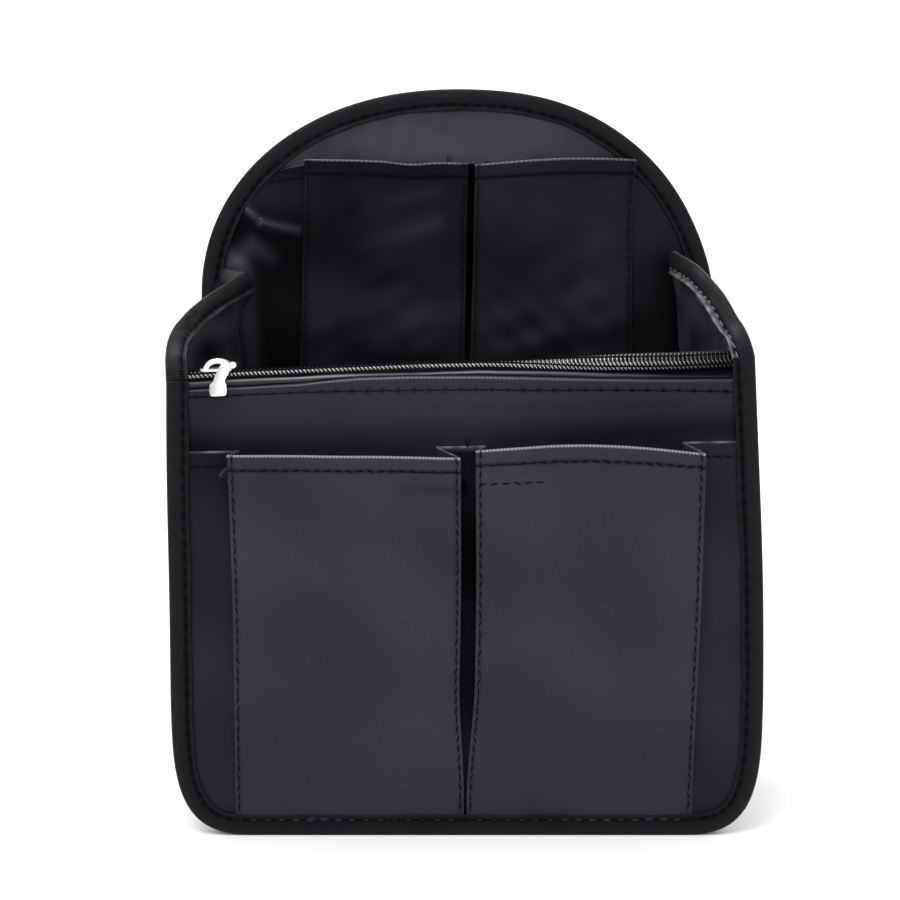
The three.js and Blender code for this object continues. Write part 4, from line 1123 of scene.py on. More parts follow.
def pocket_band(p):
    """A pleated pocket band, the columns of its corners and faces, and its hem and top rows."""
    low = panel_rows(BAND_FOOT, p.fine_from, p.low_step)
    fine_rows = panel_rows(p.fine_from, p.top - HEM_ZONE, p.fine_step)
    heights = np.concatenate([low[:-1], fine_rows[:-1], np.linspace(p.top - HEM_ZONE, p.top, 25)])
    share = np.clip((heights - SLIT_CLOSES) / (p.top - SLIT_CLOSES), 0, 1)
    folded = np.interp(p.top - heights, TUCK_DROPS, (0, 1, 0))
    points, marks = run_round(pocket_corners(p, heights, share, folded), p.counts, PLEAT_ROUND)
    x, y, z = (points[..., k] for k in range(3))
    share, folded, outer = share[:, None], folded[:, None], p.top - heights[:, None]
    z = z - p.level * share**2 * RISE * x / BASE_HALF * z
    column = np.arange(x.shape[1])
    faces = ((marks[1], marks[2]), (marks[5], marks[6]))

    def lies_between(*pairs):
        return sum(((column >= a) & (column <= b)).astype(float) for a, b in pairs)

    # Its tone: a painted highlight along the hem's edge, painted shade along the seams, in the slit and at
    # the foot
    pleated = ((marks[0], marks[3]), (marks[4], marks[7]))
    twill = 0.6 + 0.4 * np.cos(2 * math.pi * x / TWILL_PITCH)
    glint = (0.35 + 0.65 * lies_between(*pleated)) * p.glint * bell(outer, 0.2 * MM)
    tone = glint * twill + BAND_TONE_DRIFT * waves(x, z, p.seed + 13, 60 * MM)
    tone = tone - BAND_FOOT_SHADE * smooth((14 * MM - z) / (10 * MM))
    if p.tuck:
        tone = tone + TUCK_SHINE * bell((column - marks[0])[None], 1.6) * np.sqrt(folded)
    needle = 0.5 + 0.5 * np.cos(2 * math.pi * x / POCKET_NEEDLE)
    seams = HEM_SEAM_SHADE * bell(outer - p.hem, 0.7 * MM) * (0.6 + 0.4 * needle)
    seams = seams * (0.35 + 0.65 * lies_between(*faces))

    # Its faces: puffed out, arched at the top and drawn in along their edge stitches
    for number, (first, last) in enumerate(faces):
        place = np.clip((column - first) / (last - first), 0, 1)
        inside = np.where((column > first) & (column < last), 1.0, 0.0)[None]
        hump = np.sin(math.pi * place)[None] ** 0.7 * inside * smooth(share * 5)
        z = z + p.arch[number] * np.sin(math.pi * place)[None] * inside * share**6
        bulging = FACE_PUFF * hump * share**2.2 + p.swell * hump * waves(x, z, p.seed + number, 48 * MM)
        fine = 0.22 * p.swell * hump * waves(x, z, p.seed + 5 + number, 14 * MM)
        from_edge = np.minimum(x - x[:, first][:, None], x[:, last][:, None] - x)
        tuck = STITCH_TUCK * bell(from_edge - EDGE_STITCH_INSET, 0.9 * MM) * inside
        y = y - bulging - fine + tuck * smooth(share * 5)
        stitch_tone = 0.6 + 0.4 * np.cos(2 * math.pi * z / POCKET_NEEDLE)
        edge_seam = EDGE_SEAM_SHADE * bell(from_edge - EDGE_STITCH_INSET, 0.6 * MM)
        seams = np.maximum(seams, edge_seam * stitch_tone * inside)
        tone = tone + EDGE_SHINE * bell(from_edge, 0.5 * MM) * inside

    # Its hem, its ridges with their painted highlights, and the painted shade and light of the flat strips
    # and faces
    hem = HEM_STEP * smooth((p.hem + 0.9 * MM - outer) / (0.9 * MM))
    y = y - hem + HEM_CREASE * bell(outer - p.hem + 0.3 * MM, 0.7 * MM)
    gap = lies_between((marks[3] - 3, marks[4] + 3))
    tone = tone - SLIT_SHADE * gap * smooth((outer - 0.4 * MM) / (1.5 * MM))
    for start, end, height, width, shine in p.ridges:
        crest = ridge(x, z, start, end, width)
        y = y - height * crest
        tone = tone + shine * crest
    strip = 1 - lies_between(*((first, last - 1) for first, last in faces))
    part = np.searchsorted([marks[1], (marks[3] + marks[4]) // 2, marks[6]], column)
    high = smooth((z - p.top + 80 * MM) / (60 * MM))
    tone = tone + np.array(p.tones)[part] + np.array(p.top_tones)[part] * high
    y = y - STRIP_RELIEF * strip * (1 + waves(x, z, p.seed + 9, 22 * MM)) * share
    z = z - p.dip * bell(x + 17 * MM, 8 * MM) * share**8
    sheet = turned_over(np.stack([x, y, z], -1), (1 + tone) * (1 - seams) - 1)
    hem_row = int(np.argmin(abs(p.top - heights - p.hem)))
    return sheet, marks, faces, hem_row, len(heights) - 1


def column_near(sheet, row, first, last, distance):
    """The column that lies a distance from a first one, going towards a last one."""
    way = 1 if last > first else -1
    columns = np.arange(first, last, way)
    along = path_lengths(sheet.grid[row, columns])
    return int(columns[int(np.argmin(abs(along - distance)))])


# Side walls and the bottom wall

WALL_UNDER_TAPE = 6.8 * MM
CREASE_KINKS = {-1: 4.0 * MM, 1: 0.8 * MM}
CREASE_DEPTH = 10 * MM
FOLD_POWER = 1.35
FADE_POWER = 2.2
FLARE_POWER = 4
WALL_ROLL = 0.9 * MM
WALL_RIPPLE = 0.12 * MM
FLANGE_REACH = 4 * MM
WALL_SHINE_FROM_Z = 150 * MM
# Painted sheen on the wall's inner face in front of its crease, and a painted highlight along the crease
WALL_TONE = 3.0
WALL_TONE_DRIFT = 2.2
CREASE_SHINE = 5.0
LIP_Z = 190 * MM
WALL_ROWS_UNDER_TAPE = np.array([5.4, 4.0, 2.6]) * MM


def rear_share(y):
    """How far back a depth lies between the two panels' flanges."""
    return (y - FRONT_FLANGE_DEPTH) / (BACK_FLANGE_DEPTH - FRONT_FLANGE_DEPTH)


def wall_fold(y):
    """How far the side wall is folded in at a depth: 0 at the panels and 1 at the crease."""
    front = np.clip((y - FRONT_FLANGE_DEPTH) / (CREASE_Y - FRONT_FLANGE_DEPTH), 0, None) ** FOLD_POWER
    back = (BACK_FLANGE_DEPTH - y) / (BACK_FLANGE_DEPTH - CREASE_Y)
    gap = np.clip(0.5 + (back - front) / 0.10, 0, 1)
    return back + (front - back) * gap - 0.05 * gap * (1 - gap)


def wall_sheet(side, seed):
    """A side wall: out of the front tape, in to its crease and out again to the back tape."""
    path, _, into = wall_edge(side)
    depths = np.linspace(FRONT_FLANGE_DEPTH, BACK_FLANGE_DEPTH, 104)
    edge, way = (np.stack([np.interp(depths, path[:, 1], line[:, k]) for k in range(3)], -1)
                 for line in (path, into))
    edge[:, 1] = depths
    under = edge + WALL_UNDER_TAPE * way
    tops = under[:, 2]
    fold = wall_fold(depths)
    rear = rear_share(depths)

    def half(z):
        return (1 - rear) * front_half_width(z) + rear * half_width(z)

    base_top = half(tops) - WALL_INSET - CREASE_DEPTH * fold
    flare = under[:, 0] - base_top
    back = under[:, 1] - depths
    width, height = CORNER_WIDTH - WALL_INSET, CORNER_HEIGHT - WALL_INSET
    power = 2 / CORNER_POWER
    rows = []
    for angle in np.linspace(0, math.pi / 2, 20)[:-1]:
        z = np.full(len(depths), CORNER_HEIGHT - height * math.cos(angle) ** power)
        out = width * math.sin(angle) ** power
        fade = 1 - (1 - z / tops) ** FADE_POWER
        x = half(CORNER_HEIGHT) - CORNER_WIDTH + out - CREASE_DEPTH * fold * fade * out / width
        rows.append(np.stack([x, depths, z], -1))
    for share in np.linspace(0, 1, 76):
        z = CORNER_HEIGHT + (tops - CORNER_HEIGHT) * share
        fade = 1 - (1 - z / tops) ** FADE_POWER
        x = half(z) - WALL_INSET - CREASE_DEPTH * fold * fade
        near_top = (z / tops) ** FLARE_POWER
        rows.append(np.stack([x + flare * near_top, depths + back * near_top, z], -1))
    rows += [edge + way * reach for reach in WALL_ROWS_UNDER_TAPE]
    grid = np.stack(rows)
    y, z = grid[..., 1], grid[..., 2]
    hold = smooth((y - FRONT_FLANGE_DEPTH) / (9 * MM)) * smooth((BACK_FLANGE_DEPTH - y) / (7 * MM))
    hold = hold * smooth((z - 12 * MM) / (25 * MM)) * smooth((tops[None] - z) / (9 * MM))
    hold = hold * (1 - 0.7 * bell(y - CREASE_Y, 3 * MM))
    sway = WALL_ROLL * waves(y * 1.3, z * 0.4, seed, 38 * MM)
    sway = sway + WALL_RIPPLE * waves(y, z * 0.6, seed + 1, 14 * MM)
    grid[..., 0] += hold * sway
    below_lip = smooth((LIP_Z - z) / (6 * MM)) * (1 - 0.7 * smooth((180 * MM - z) / (15 * MM)))
    grid[..., 0] += CREASE_KINKS[side] * bell(y - CREASE_Y, 8 * MM) * below_lip
    room = np.clip(edge[0, 0] - grid[:, 0, 0] - 1.2 * MM, 0.1 * MM, FLANGE_REACH)
    flange_front, flange_back = grid[:, :1].copy(), grid[:, -1:].copy()
    flange_front[..., 0] += room[:, None]
    flange_back[..., 0] += FLANGE_REACH
    grid = np.concatenate([flange_front, grid, flange_back], axis=1)
    grid[..., 0] *= side
    y, z = grid[..., 1], grid[..., 2]
    # Painted sheen that varies over the inner face, a painted highlight along the crease, both only near the
    # top
    tone = WALL_TONE + WALL_TONE_DRIFT * waves(y, z, seed + 4, 22 * MM)
    crease_shine = CREASE_SHINE * bell(y - CREASE_Y + 1 * MM, 1 * MM)
    tone = tone + crease_shine * smooth((191 * MM - z) / (3 * MM))
    tone = tone * smooth((z - WALL_SHINE_FROM_Z) / (12 * MM)) * (y < CREASE_Y)
    tones = (tone, 0.0) if side < 0 else (0.0, tone)
    return Sheet(slouched(grid), CLOTH, *tones)


BOTTOM_GAP = 0.3 * MM
BOTTOM_DROOP = 0.5 * MM
BOTTOM_TURNED = np.array([2.5, 5.5, 8.0]) * MM


def bottom_sheet():
    """The bottom wall, turned down at the front and the rear into the tapes."""
    half = half_width(CORNER_HEIGHT) - CORNER_WIDTH - BOTTOM_GAP
    across = np.linspace(-half, half, 90)
    depths = np.linspace(FRONT_FLANGE_DEPTH, BACK_FLANGE_DEPTH, 50)
    y = np.concatenate([[FRONT_FLANGE_DEPTH] * 3, depths[1:-1], [BACK_FLANGE_DEPTH] * 3])
    z = np.concatenate([BOTTOM_TURNED, np.full(len(depths) - 2, WALL_INSET), BOTTOM_TURNED[::-1]])
    x, y, z = np.broadcast_arrays(across[None], y[:, None], z[:, None])
    hold = np.sin(math.pi * np.clip(rear_share(y), 0, 1))
    return plain_sheet(x, y, z + BOTTOM_DROOP * hold * (waves(x, y, 91, 50 * MM) - 1))


# Zip

CHAIN_Z = 166.5 * MM
CHAIN_Y = 4.6 * MM
COIL_HALF = 2.8 * MM
COIL_REACH = 3.5 * MM
COIL_HEIGHT = 0.95 * MM
COIL_LEAN = -0.55
COIL_SLANTS = {-1: 0.5, 1: 0.0}
COIL_SEAM_ACROSS = 1.75 * MM
COIL_SEAM_OUT = 1.2 * MM
ZIP_TAPE_DEPTHS = {-1: 2.15 * MM, 1: 4.7 * MM}
ROW_PARTING = 1.3 * MM
SLIDER_X = -83.35 * MM
SLIDER_LENGTH = 11 * MM
SLIDER_FLANGE = 0.7 * MM
CHAIN_HALF = 92.5 * MM
CHAIN_ROLL = (4, 70)
CHAIN_SAG_X = np.array([-15, 5, 26, 47, 74]) * MM
CHAIN_SAG = np.array([0, 0.4, 1.1, 1.6, 2.2]) * MM
TAPE_BELOW_COIL = 0.55 * MM
ZIP_TAPE_HALF = 93.5 * MM
ZIP_TAPE_FOOT = 156 * MM
ZIP_TAPE_BENDS_AT = 160.4 * MM
ZIP_TAPE_BULGE = 0.75 * MM
# Painted highlight on the front zip tape's bulge and along its upper edge, fading to the right; the rest is
# painted shade
STRIPE_RISE = np.array([2.9, 2.8, 2.4, 1.9, 1.3, 1.1, 1.8, 2.0, 1.8, 1.5, 1.4]) * MM
STRIPE_GLINT = 11.5
STRIPE_TONES = (0.6, 1.1)
STRIPE_SHADE = 0.85
ZIP_TAPE_ROLL = 0.15 * MM


def chain_tilt(x):
    """How far the chain is rolled towards the front: more at its right end."""
    return np.radians(between_ends(CHAIN_ROLL, smooth((x - 5 * MM) / (62 * MM))))


def chain_sag(x):
    """How far the chain hangs below its straight line at its right end."""
    return np.interp(x, CHAIN_SAG_X, CHAIN_SAG)


def chain_points(x, across, out):
    """Points given along, across and out of the chain."""
    tilt = chain_tilt(x)
    y = CHAIN_Y + across * np.cos(tilt) - out * np.sin(tilt)
    z = CHAIN_Z - chain_sag(x) + across * np.sin(tilt) + out * np.cos(tilt)
    return np.stack(np.broadcast_arrays(x, y, z), -1)


def parting(x):
    """How far each row stands off the chain's middle, which is closed right of the slider."""
    closed_from = SLIDER_X + SLIDER_LENGTH / 2 - SLIDER_FLANGE
    return ROW_PARTING * smooth((closed_from - x) / (SLIDER_LENGTH - SLIDER_FLANGE))


def zip_tape_sheet(side, depth):
    """A zip tape from its seam in the panel up to its row of coil."""
    x = np.linspace(-ZIP_TAPE_HALF, ZIP_TAPE_HALF, 190)
    gap = side * (0.35 * MM + parting(x))
    edge = side * (COIL_HALF + 0.5 * MM + parting(x))
    rows = []
    for height in np.linspace(ZIP_TAPE_FOOT, ZIP_TAPE_BENDS_AT, 18):
        rows.append(np.stack([x, np.full_like(x, depth), np.full_like(x, height)], -1))
    bend_end = chain_points(x, edge, -TAPE_BELOW_COIL)
    start = rows[-1]
    if side < 0:
        pull_z = np.minimum(163.2 * MM, bend_end[:, 2] - 0.8 * MM)
        pull = np.stack([x, np.full_like(x, depth), pull_z], -1)
    else:
        pull = chain_points(x, edge + 0.6 * MM, -2.6 * MM)
    rows += [bent(start, pull, bend_end, share) for share in np.linspace(0, 1, 22)[1:]]
    for share in np.linspace(0, 1, 7)[1:]:
        rows.append(chain_points(x, between_ends((edge, gap), share), -TAPE_BELOW_COIL))
    grid = np.stack(rows)
    z = grid[..., 2]
    edge_z = np.interp(x, COVER_X, COVER_EDGE_Z)
    stripe = edge_z + np.interp(x, COVER_X, STRIPE_RISE)
    # Painted highlight on the bulging stripe with a painted glint on its edge, and painted shade elsewhere
    tone = 0.0
    if side < 0:
        bulge = np.maximum(edge_z + 1.6 * MM, stripe - 0.8 * MM)
        grid[..., 1] -= ZIP_TAPE_BULGE * bell(z - bulge, 0.9 * MM)
        above_edge = smooth((z - edge_z - 0.75 * MM) / (0.4 * MM))
        body = above_edge * smooth((stripe + 0.4 * MM - z) / (0.4 * MM))
        brightness = STRIPE_TONES[0] + STRIPE_TONES[1] * smooth((85 * MM - x) / (40 * MM))
        tone = brightness * body - STRIPE_SHADE
        tone = tone + STRIPE_GLINT * bell(x + 30 * MM, 55 * MM) * bell(z - stripe, 0.28 * MM)
    free = smooth((z - 159 * MM) / (3 * MM))
    grid[..., 1] -= ZIP_TAPE_ROLL * free * waves(grid[..., 0], z, 95 + side, 16 * MM)
    return Sheet(slouched(grid), CLOTH, tone)


def chain_line(side, across, out, shift=0.0):
    """A line along one row of the chain, and the way out of it."""
    x = np.linspace(-CHAIN_HALF, CHAIN_HALF, 760) + shift
    across = side * (across + parting(x))
    points = slouched(chain_points(x, across, out))
    above = slouched(chain_points(x, across, out + MM))
    return points, unit(above - points)


def outline_through(points):
    """A smooth closed outline through points given in millimetres."""
    points = np.asarray(points, float) * MM
    share = np.linspace(0, 1, 6, endpoint=False)[:, None]
    near = [np.roll(points, k, axis=0) for k in (1, 0, -1, -2)]
    return np.concatenate([spline(*corners, share) for corners in zip(*near)])


SLIDER_TILT = math.radians(5)
TAB_HANG = math.radians(9)
TAB_EYE_HEIGHT = 4.2 * MM
TAB_EYE_Y = 1.065 * MM
CROWN_OUTLINE = (
    (-4.4, 1.6), (-4.1, 3.2), (-2.8, 4.8), (-0.8, 5.7), (1.4, 5.8), (3.4, 5.2), (5.0, 4.3),
    (5.9, 3.3), (5.7, 2.0), (4.2, 1.6), (3.0, 2.4), (2.6, 3.6), (1.2, 4.2), (-0.6, 4.0),
    (-2.0, 3.2), (-2.9, 1.7))
PLATE_OUTLINE = (
    (-5.5, -0.9), (-5.5, 0.9), (-4.6, 2.0), (-1.5, 2.3), (2.5, 2.3), (5.0, 2.1), (5.6, 0.9),
    (5.6, -0.9), (5.0, -2.1), (2.5, -2.3), (-1.5, -2.3), (-4.6, -2.0))
POST_OUTLINE = ((-4.6, 0.0), (-3.6, 0.8), (-2.2, 0.5), (-1.6, 0.0), (-2.2, -0.5), (-3.6, -0.8))
NUB_OUTLINE = ((4.8, 2.2), (5.0, 3.9), (5.8, 4.4), (6.9, 4.0), (7.1, 3.0), (6.2, 2.2))
TAB_OUTLINE = (
    (1.5, -2.9), (3.4, -3.9), (5.2, -3.2), (4.9, -1.2), (3.9, 0.7), (3.4, 1.7), (3.6, 2.5),
    (3.9, 3.1), (4.0, 5.2), (3.7, 6.5), (3.2, 6.8), (1.0, 6.9), (-1.1, 6.8), (-1.6, 6.5),
    (-1.9, 5.2), (-1.8, 3.2), (-1.3, 2.5), (-0.6, 1.8), (-0.1, 0.3), (0.7, -1.3))
EYE_OUTLINE = ((1.7, -2.6), (2.6, -4.4), (4.2, -4.6), (5.3, -3.5), (4.8, -1.8), (3.0, -1.2))


def slider_points(along, across, out):
    """Points given along, across and out of the slider."""
    y = CHAIN_Y + across * math.cos(SLIDER_TILT) - out * math.sin(SLIDER_TILT)
    z = CHAIN_Z + across * math.sin(SLIDER_TILT) + out * math.cos(SLIDER_TILT)
    return slouched(np.stack(np.broadcast_arrays(SLIDER_X + along, y, z), -1))


def crown_place(outline, depth):
    """The crown stands upright along the slider."""
    return slider_points(outline[:, 0], depth, outline[:, 1])


def plate_place(outline, depth):
    """The plates and their post lie along the slider."""
    return slider_points(outline[:, 0], outline[:, 1], depth)


def tab_place(outline, depth):
    """The pull tab hangs from its eye in front of the chain, its foot a little outwards."""
    fall = outline[:, 1] + TAB_EYE_HEIGHT
    y = TAB_EYE_Y - fall * math.tan(TAB_HANG) + depth
    points = np.stack([SLIDER_X + outline[:, 0], y, CHAIN_Z - outline[:, 1]], -1)
    return slouched(points)


def cut_plate(outline, place, low, high):
    """Corners and faces of a plate cut to an outline, all given in millimetres."""
    outline = outline_through(outline)
    count = len(outline)
    points = np.concatenate([place(outline, low * MM), place(outline, high * MM)])
    ring = np.arange(count)
    after = np.roll(ring, -1)
    sides = np.stack([ring, after, after + count, ring + count], -1).tolist()
    return points, [ring[::-1].tolist(), (ring + count).tolist(), *sides]


def metal_mesh(name, plates, bevel):
    """One mesh of several cast plates with rounded edges."""
    points, faces = [], []
    for plate_points, plate_faces in plates:
        faces += [[i + len(points) for i in face] for face in plate_faces]
        points += plate_points.tolist()
    mesh = bpy.data.meshes.new(name + "_rough")
    mesh.from_pydata(points, [], faces)
    shape = bmesh.new()
    shape.from_mesh(mesh)
    bmesh.ops.recalc_face_normals(shape, faces=shape.faces)
    shape.to_mesh(mesh)
    shape.free()
    rough = put(name + "_rough", mesh)
    rounding = rough.modifiers.new("rounding", "BEVEL")
    rounding.width = bevel
    rounding.segments = 3
    rounding.limit_method = "ANGLE"
    rounding.angle_limit = math.radians(40)
    done = evaluated_mesh(rough)
    bpy.data.objects.remove(rough)
    done.name = name
    done.shade_smooth()
    done.set_sharp_from_angle(angle=math.radians(50))
    return done


# What a user may change

def length_property(name, description, default, low, high):
    """A length in metres with its limits, all given in millimetres."""
    return FloatProperty(name=name, description=description, default=default * MM, min=low * MM,
                         max=high * MM, unit="LENGTH")


def colour_property(name, description, default):
    """A plain colour."""
    return FloatVectorProperty(name=name, description=description, default=default, size=3,
                               subtype="COLOR", min=0.0, max=1.0)


class OrganiserSizes(bpy.types.PropertyGroup):
    """Sizes of the sewing, the coil and the slider's rounding."""

    tape_stitch: length_property("Tape stitch", "Stitch length along the edge tapes", 5.0, 2, 9)
    pocket_stitch: length_property("Pocket stitch", "Stitch length on the pockets", 3.5, 2, 9)
    thread_radius: length_property("Thread radius", "Half the thread's width", 0.25, 0.1, 0.5)
    tooth_pitch: length_property("Tooth pitch", "Distance between the coil's loops", 1.4, 1, 2.5)
    coil_wire: length_property("Coil wire", "Half the width of the coil's wire", 0.37, 0.2, 0.5)
    metal_bevel: length_property("Metal rounding", "Rounding of its corners", 0.28, 0.05, 0.5)


class OrganiserColours(bpy.types.PropertyGroup):
    """Colours of the cloth, thread, zip and metal."""

    shell: colour_property("Shell cloth", "Outer twill", (0.0178, 0.0171, 0.0218))
    lining: colour_property("Lining cloth", "Inner twill", (0.0038, 0.0036, 0.0052))
    tape: colour_property("Edge tape", "Tape round the edges", (0.0049, 0.0047, 0.0054))
    zip_tape: colour_property("Zip tape", "Tape of the zip", (0.0070, 0.0069, 0.0074))
    thread: colour_property("Thread", "Sewing thread", (0.0035, 0.0034, 0.0038))
    # A lighter copy of the thread: a painted highlight for stitches that catch light
    pale_thread: colour_property("Highlit thread", "Thread where it catches light", (0.12, 0.12, 0.13))
    coil: colour_property("Coil", "Zip coil", (0.022, 0.022, 0.023))
    nickel: colour_property("Nickel", "Slider and pull tab", (0.86, 0.85, 0.83))
    board: colour_property("Board", "Stiffening board", (0.25, 0.25, 0.24))


# Operators

class PieceOperator:
    """What all the operators share."""

    bl_options = {"REGISTER", "UNDO"}


class ORGANISER_OT_edge_tapes(PieceOperator, bpy.types.Operator):
    """Makes the tapes round the two panels' edges, with their stitching"""

    bl_idname = "organiser.edge_tapes"
    bl_label = "Edge tapes"

    def execute(self, context):
        pitch = context.scene.organiser_sizes.tape_stitch
        front = upright_tape(front_edge_path(), FRONT_TAPE_MIDDLE, FRONT_TAPE_HALF, 11, pitch)
        back = upright_tape(back_edge_path(), BACK_TAPE_MIDDLE, BACK_TAPE_HALF, 21, pitch)
        for side, sheet in (("front", front), ("back", back)):
            body = f"{side}_panel"
            tape_piece(f"{side}_edge_tape", sheet, "edge tape", f"{side}_binding", body)
            stitches(f"{side}_edge_tape_stitches", seam_lines(sheet), pitch, body)
        return {"FINISHED"}


class ORGANISER_OT_front_cloth(PieceOperator, bpy.types.Operator):
    """Makes the front panel's cover, zip pocket back and lining"""

    bl_idname = "organiser.front_cloth"
    bl_label = "Front panel cloth"

    def execute(self, context):
        sheet, row = cover_sheet()
        cloth_piece("front_cover_cloth", sheet, "shell twill", "front_cover",
                    "front_panel")
        columns = np.arange(6, sheet.grid.shape[1] - 6)
        stitches("cover_topstitch", [sheet.line(row, columns, 1.0, -0.1 * MM)], COVER_STITCH_PITCH,
                 "front_panel")
        pocket = panel_points(ZIP_POCKET_DEPTH, ZIP_POCKET_TOP, 33, 0.05 * MM, FRONT_OUTLINE_TOP)
        cloth_piece("zip_pocket_cloth", plain_sheet(*pocket), "lining twill",
                    "zip_pocket_back", "front_panel")
        lining = panel_points(FRONT_LINING_DEPTH, FRONT_LINING_TOP, 35, 0.12 * MM, FRONT_OUTLINE_TOP)
        lining = fold_over(*lining, LINING_HEM, -0.5 * MM)
        cloth_piece("front_lining_cloth", plain_sheet(*lining), "lining twill",
                    "front_lining", "front_panel")
        return {"FINISHED"}


SECOND_SEAM_DROP = 6.2 * MM
SECOND_SEAM_ENDS = (2 * MM, 22 * MM)
LOOSE_THREAD_RADIUS = 0.13 * MM
FRONT_THREADS_AT = (1.8 * MM, 0.6 * MM, 138.2 * MM)
BACK_THREADS_AT = (-2.6 * MM, 79.5 * MM, 235.0 * MM)


def pocket_stitching(name, band, body, slot):
    """Hem and edge stitching of a pleated band, with a short second seam on the front one."""
    sheet, marks, faces, hem_row, top_row = band
    lines = []
    for first, last in faces:
        start = column_near(sheet, hem_row, first, last, 1 * MM)
        end = column_near(sheet, hem_row, last, first, 1 * MM)
        lines.append(sheet.line(hem_row, np.arange(start, end)))
        rows = np.arange(3, top_row - 1)
        for near, far in ((first, last), (last, first)):
            column = column_near(sheet, hem_row, near, far, EDGE_STITCH_INSET)
            lines.append(sheet.line(rows, column))
    lines.append(sheet.line(hem_row, np.arange(2, marks[0] - 1)))
    lines.append(sheet.line(hem_row, np.arange(marks[7] + 2, sheet.grid.shape[1] - 2)))
    if slot == "shell_cloth":
        below_hem = sheet.v[hem_row] - sheet.v[hem_row::-1]
        second = hem_row - int(np.searchsorted(below_hem, SECOND_SEAM_DROP))
        start, end = (column_near(sheet, second, *faces[1], place) for place in SECOND_SEAM_ENDS)
        lines.append(sheet.line(second, np.arange(start, end)))
    pitch = bpy.context.scene.organiser_sizes.pocket_stitch
    stitches(name, lines, pitch, body, slot, share=0.95, scatter=0.42)


def loose_threads(name, start, body, slot):
    """Short ends of sewing thread that stand off the cloth."""
    lines = []
    draw = np.random.default_rng(300)
    share = np.linspace(0, 1, 12)[:, None]
    for turn in draw.uniform(-0.9, 0.9, 3):
        length = draw.uniform(2.2, 4.2) * MM
        way = np.array([math.sin(turn), -0.35, math.cos(turn)])
        curl = np.array([draw.uniform(-1, 1), -0.2, 0.0]) * 1.2 * MM
        line = np.array(start) + way * length * share + curl * share**2
        lines.append((slouched(line), np.array([0.0, -1.0, 0.0])))
    repeat_along(name, lines, "stitch", "thread", slot, body, spacing=0.4 * MM, length=0.75 * MM,
                 height=LOOSE_THREAD_RADIUS, thickness=LOOSE_THREAD_RADIUS)


class ORGANISER_OT_front_pockets(PieceOperator, bpy.types.Operator):
    """Makes the pleated pockets on the front panel"""

    bl_idname = "organiser.front_pockets"
    bl_label = "Front pockets"

    def execute(self, context):
        band = pocket_band(FRONT_POCKET)
        cloth_piece("front_pockets", band[0], "shell twill", "front_pocket_band",
                    "front_panel")
        pocket_stitching("front_pocket_stitches", band, "front_panel", "shell_cloth")
        loose_threads("front_loose_threads", FRONT_THREADS_AT, "front_panel", "shell_cloth")
        return {"FINISHED"}


class ORGANISER_OT_back_cloth(PieceOperator, bpy.types.Operator):
    """Makes the back panel's lining and rear cover"""

    bl_idname = "organiser.back_cloth"
    bl_label = "Back panel cloth"

    def execute(self, context):
        cloth_piece("back_lining_cloth", arch_lining(), "lining twill",
                    "back_lining", "back_panel")
        cover = panel_points(BACK_COVER_DEPTH, BACK_LAYER_TOP, 43, 0.1 * MM)
        cloth_piece("back_cover_cloth", plain_sheet(*cover), "shell twill",
                    "back_cover", "back_panel")
        return {"FINISHED"}


class ORGANISER_OT_back_pockets(PieceOperator, bpy.types.Operator):
    """Makes the pleated pockets inside the back panel"""

    bl_idname = "organiser.back_pockets"
    bl_label = "Back pockets"

    def execute(self, context):
        band = pocket_band(BACK_POCKET)
        cloth_piece("back_pockets", band[0], "lining twill", "back_pocket_band",
                    "back_panel")
        pocket_stitching("back_pocket_stitches", band, "back_panel", "lining_cloth")
        loose_threads("back_loose_threads", BACK_THREADS_AT, "back_panel", "lining_cloth")
        return {"FINISHED"}


class ORGANISER_OT_walls(PieceOperator, bpy.types.Operator):
    """Makes the folded side walls, their top tapes and the bottom wall"""

    bl_idname = "organiser.walls"
    bl_label = "Side and bottom walls"

    def execute(self, context):
        pitch = context.scene.organiser_sizes.tape_stitch * WALL_STITCH_SHARE
        # The right tape's stitches use the pale thread, a painted highlight
        for name, side, finish in (("left", -1, "thread"), ("right", 1, "pale thread")):
            cloth_piece(f"side_wall_cloth_{name}", wall_sheet(side, 81 + side), "lining twill",
                        f"side_wall_{name}")
            sheet = wall_tape(side, 61 + side, pitch)
            tape_piece(f"wall_edge_tape_{name}", sheet, "edge tape",
                       f"side_top_binding_{name}")
            stitches(f"wall_tape_stitches_{name}", seam_lines(sheet), pitch, finish=finish)
        cloth_piece("bottom_wall_cloth", bottom_sheet(), "lining twill",
                    "bottom_wall")
        return {"FINISHED"}


class ORGANISER_OT_zip(PieceOperator, bpy.types.Operator):
    """Makes the zip's tapes and its two rows of coil"""

    bl_idname = "organiser.zip"
    bl_label = "Zip"

    def execute(self, context):
        sizes = context.scene.organiser_sizes
        pitch = sizes.tooth_pitch
        for name, side, shift in (("front", -1, 0), ("back", 1, pitch / 2)):
            tape_piece(f"zip_tape_cloth_{name}", zip_tape_sheet(side, ZIP_TAPE_DEPTHS[side]),
                       "zip tape", f"zip_tape_{name}", "front_panel")
            row = chain_line(side, COIL_HALF - COIL_REACH / 2, 0.0, shift)
            repeat_along(f"zip_coil_loops_{name}", [row], "coil", "zip coil", "zip_coil",
                         "front_panel", f"zip_coil_{name}", spacing=pitch, length=COIL_REACH,
                         height=COIL_HEIGHT, thickness=sizes.coil_wire, slant=COIL_SLANTS[side],
                         lean=COIL_LEAN)
            seam = chain_line(side, COIL_SEAM_ACROSS, COIL_SEAM_OUT, shift)
            repeat_along(f"zip_coil_seam_{name}", [seam], "stitch", "thread", "zip_tape",
                         "front_panel", spacing=pitch, length=1.7 * MM, height=0.3 * MM,
                         thickness=0.42 * MM)
        return {"FINISHED"}


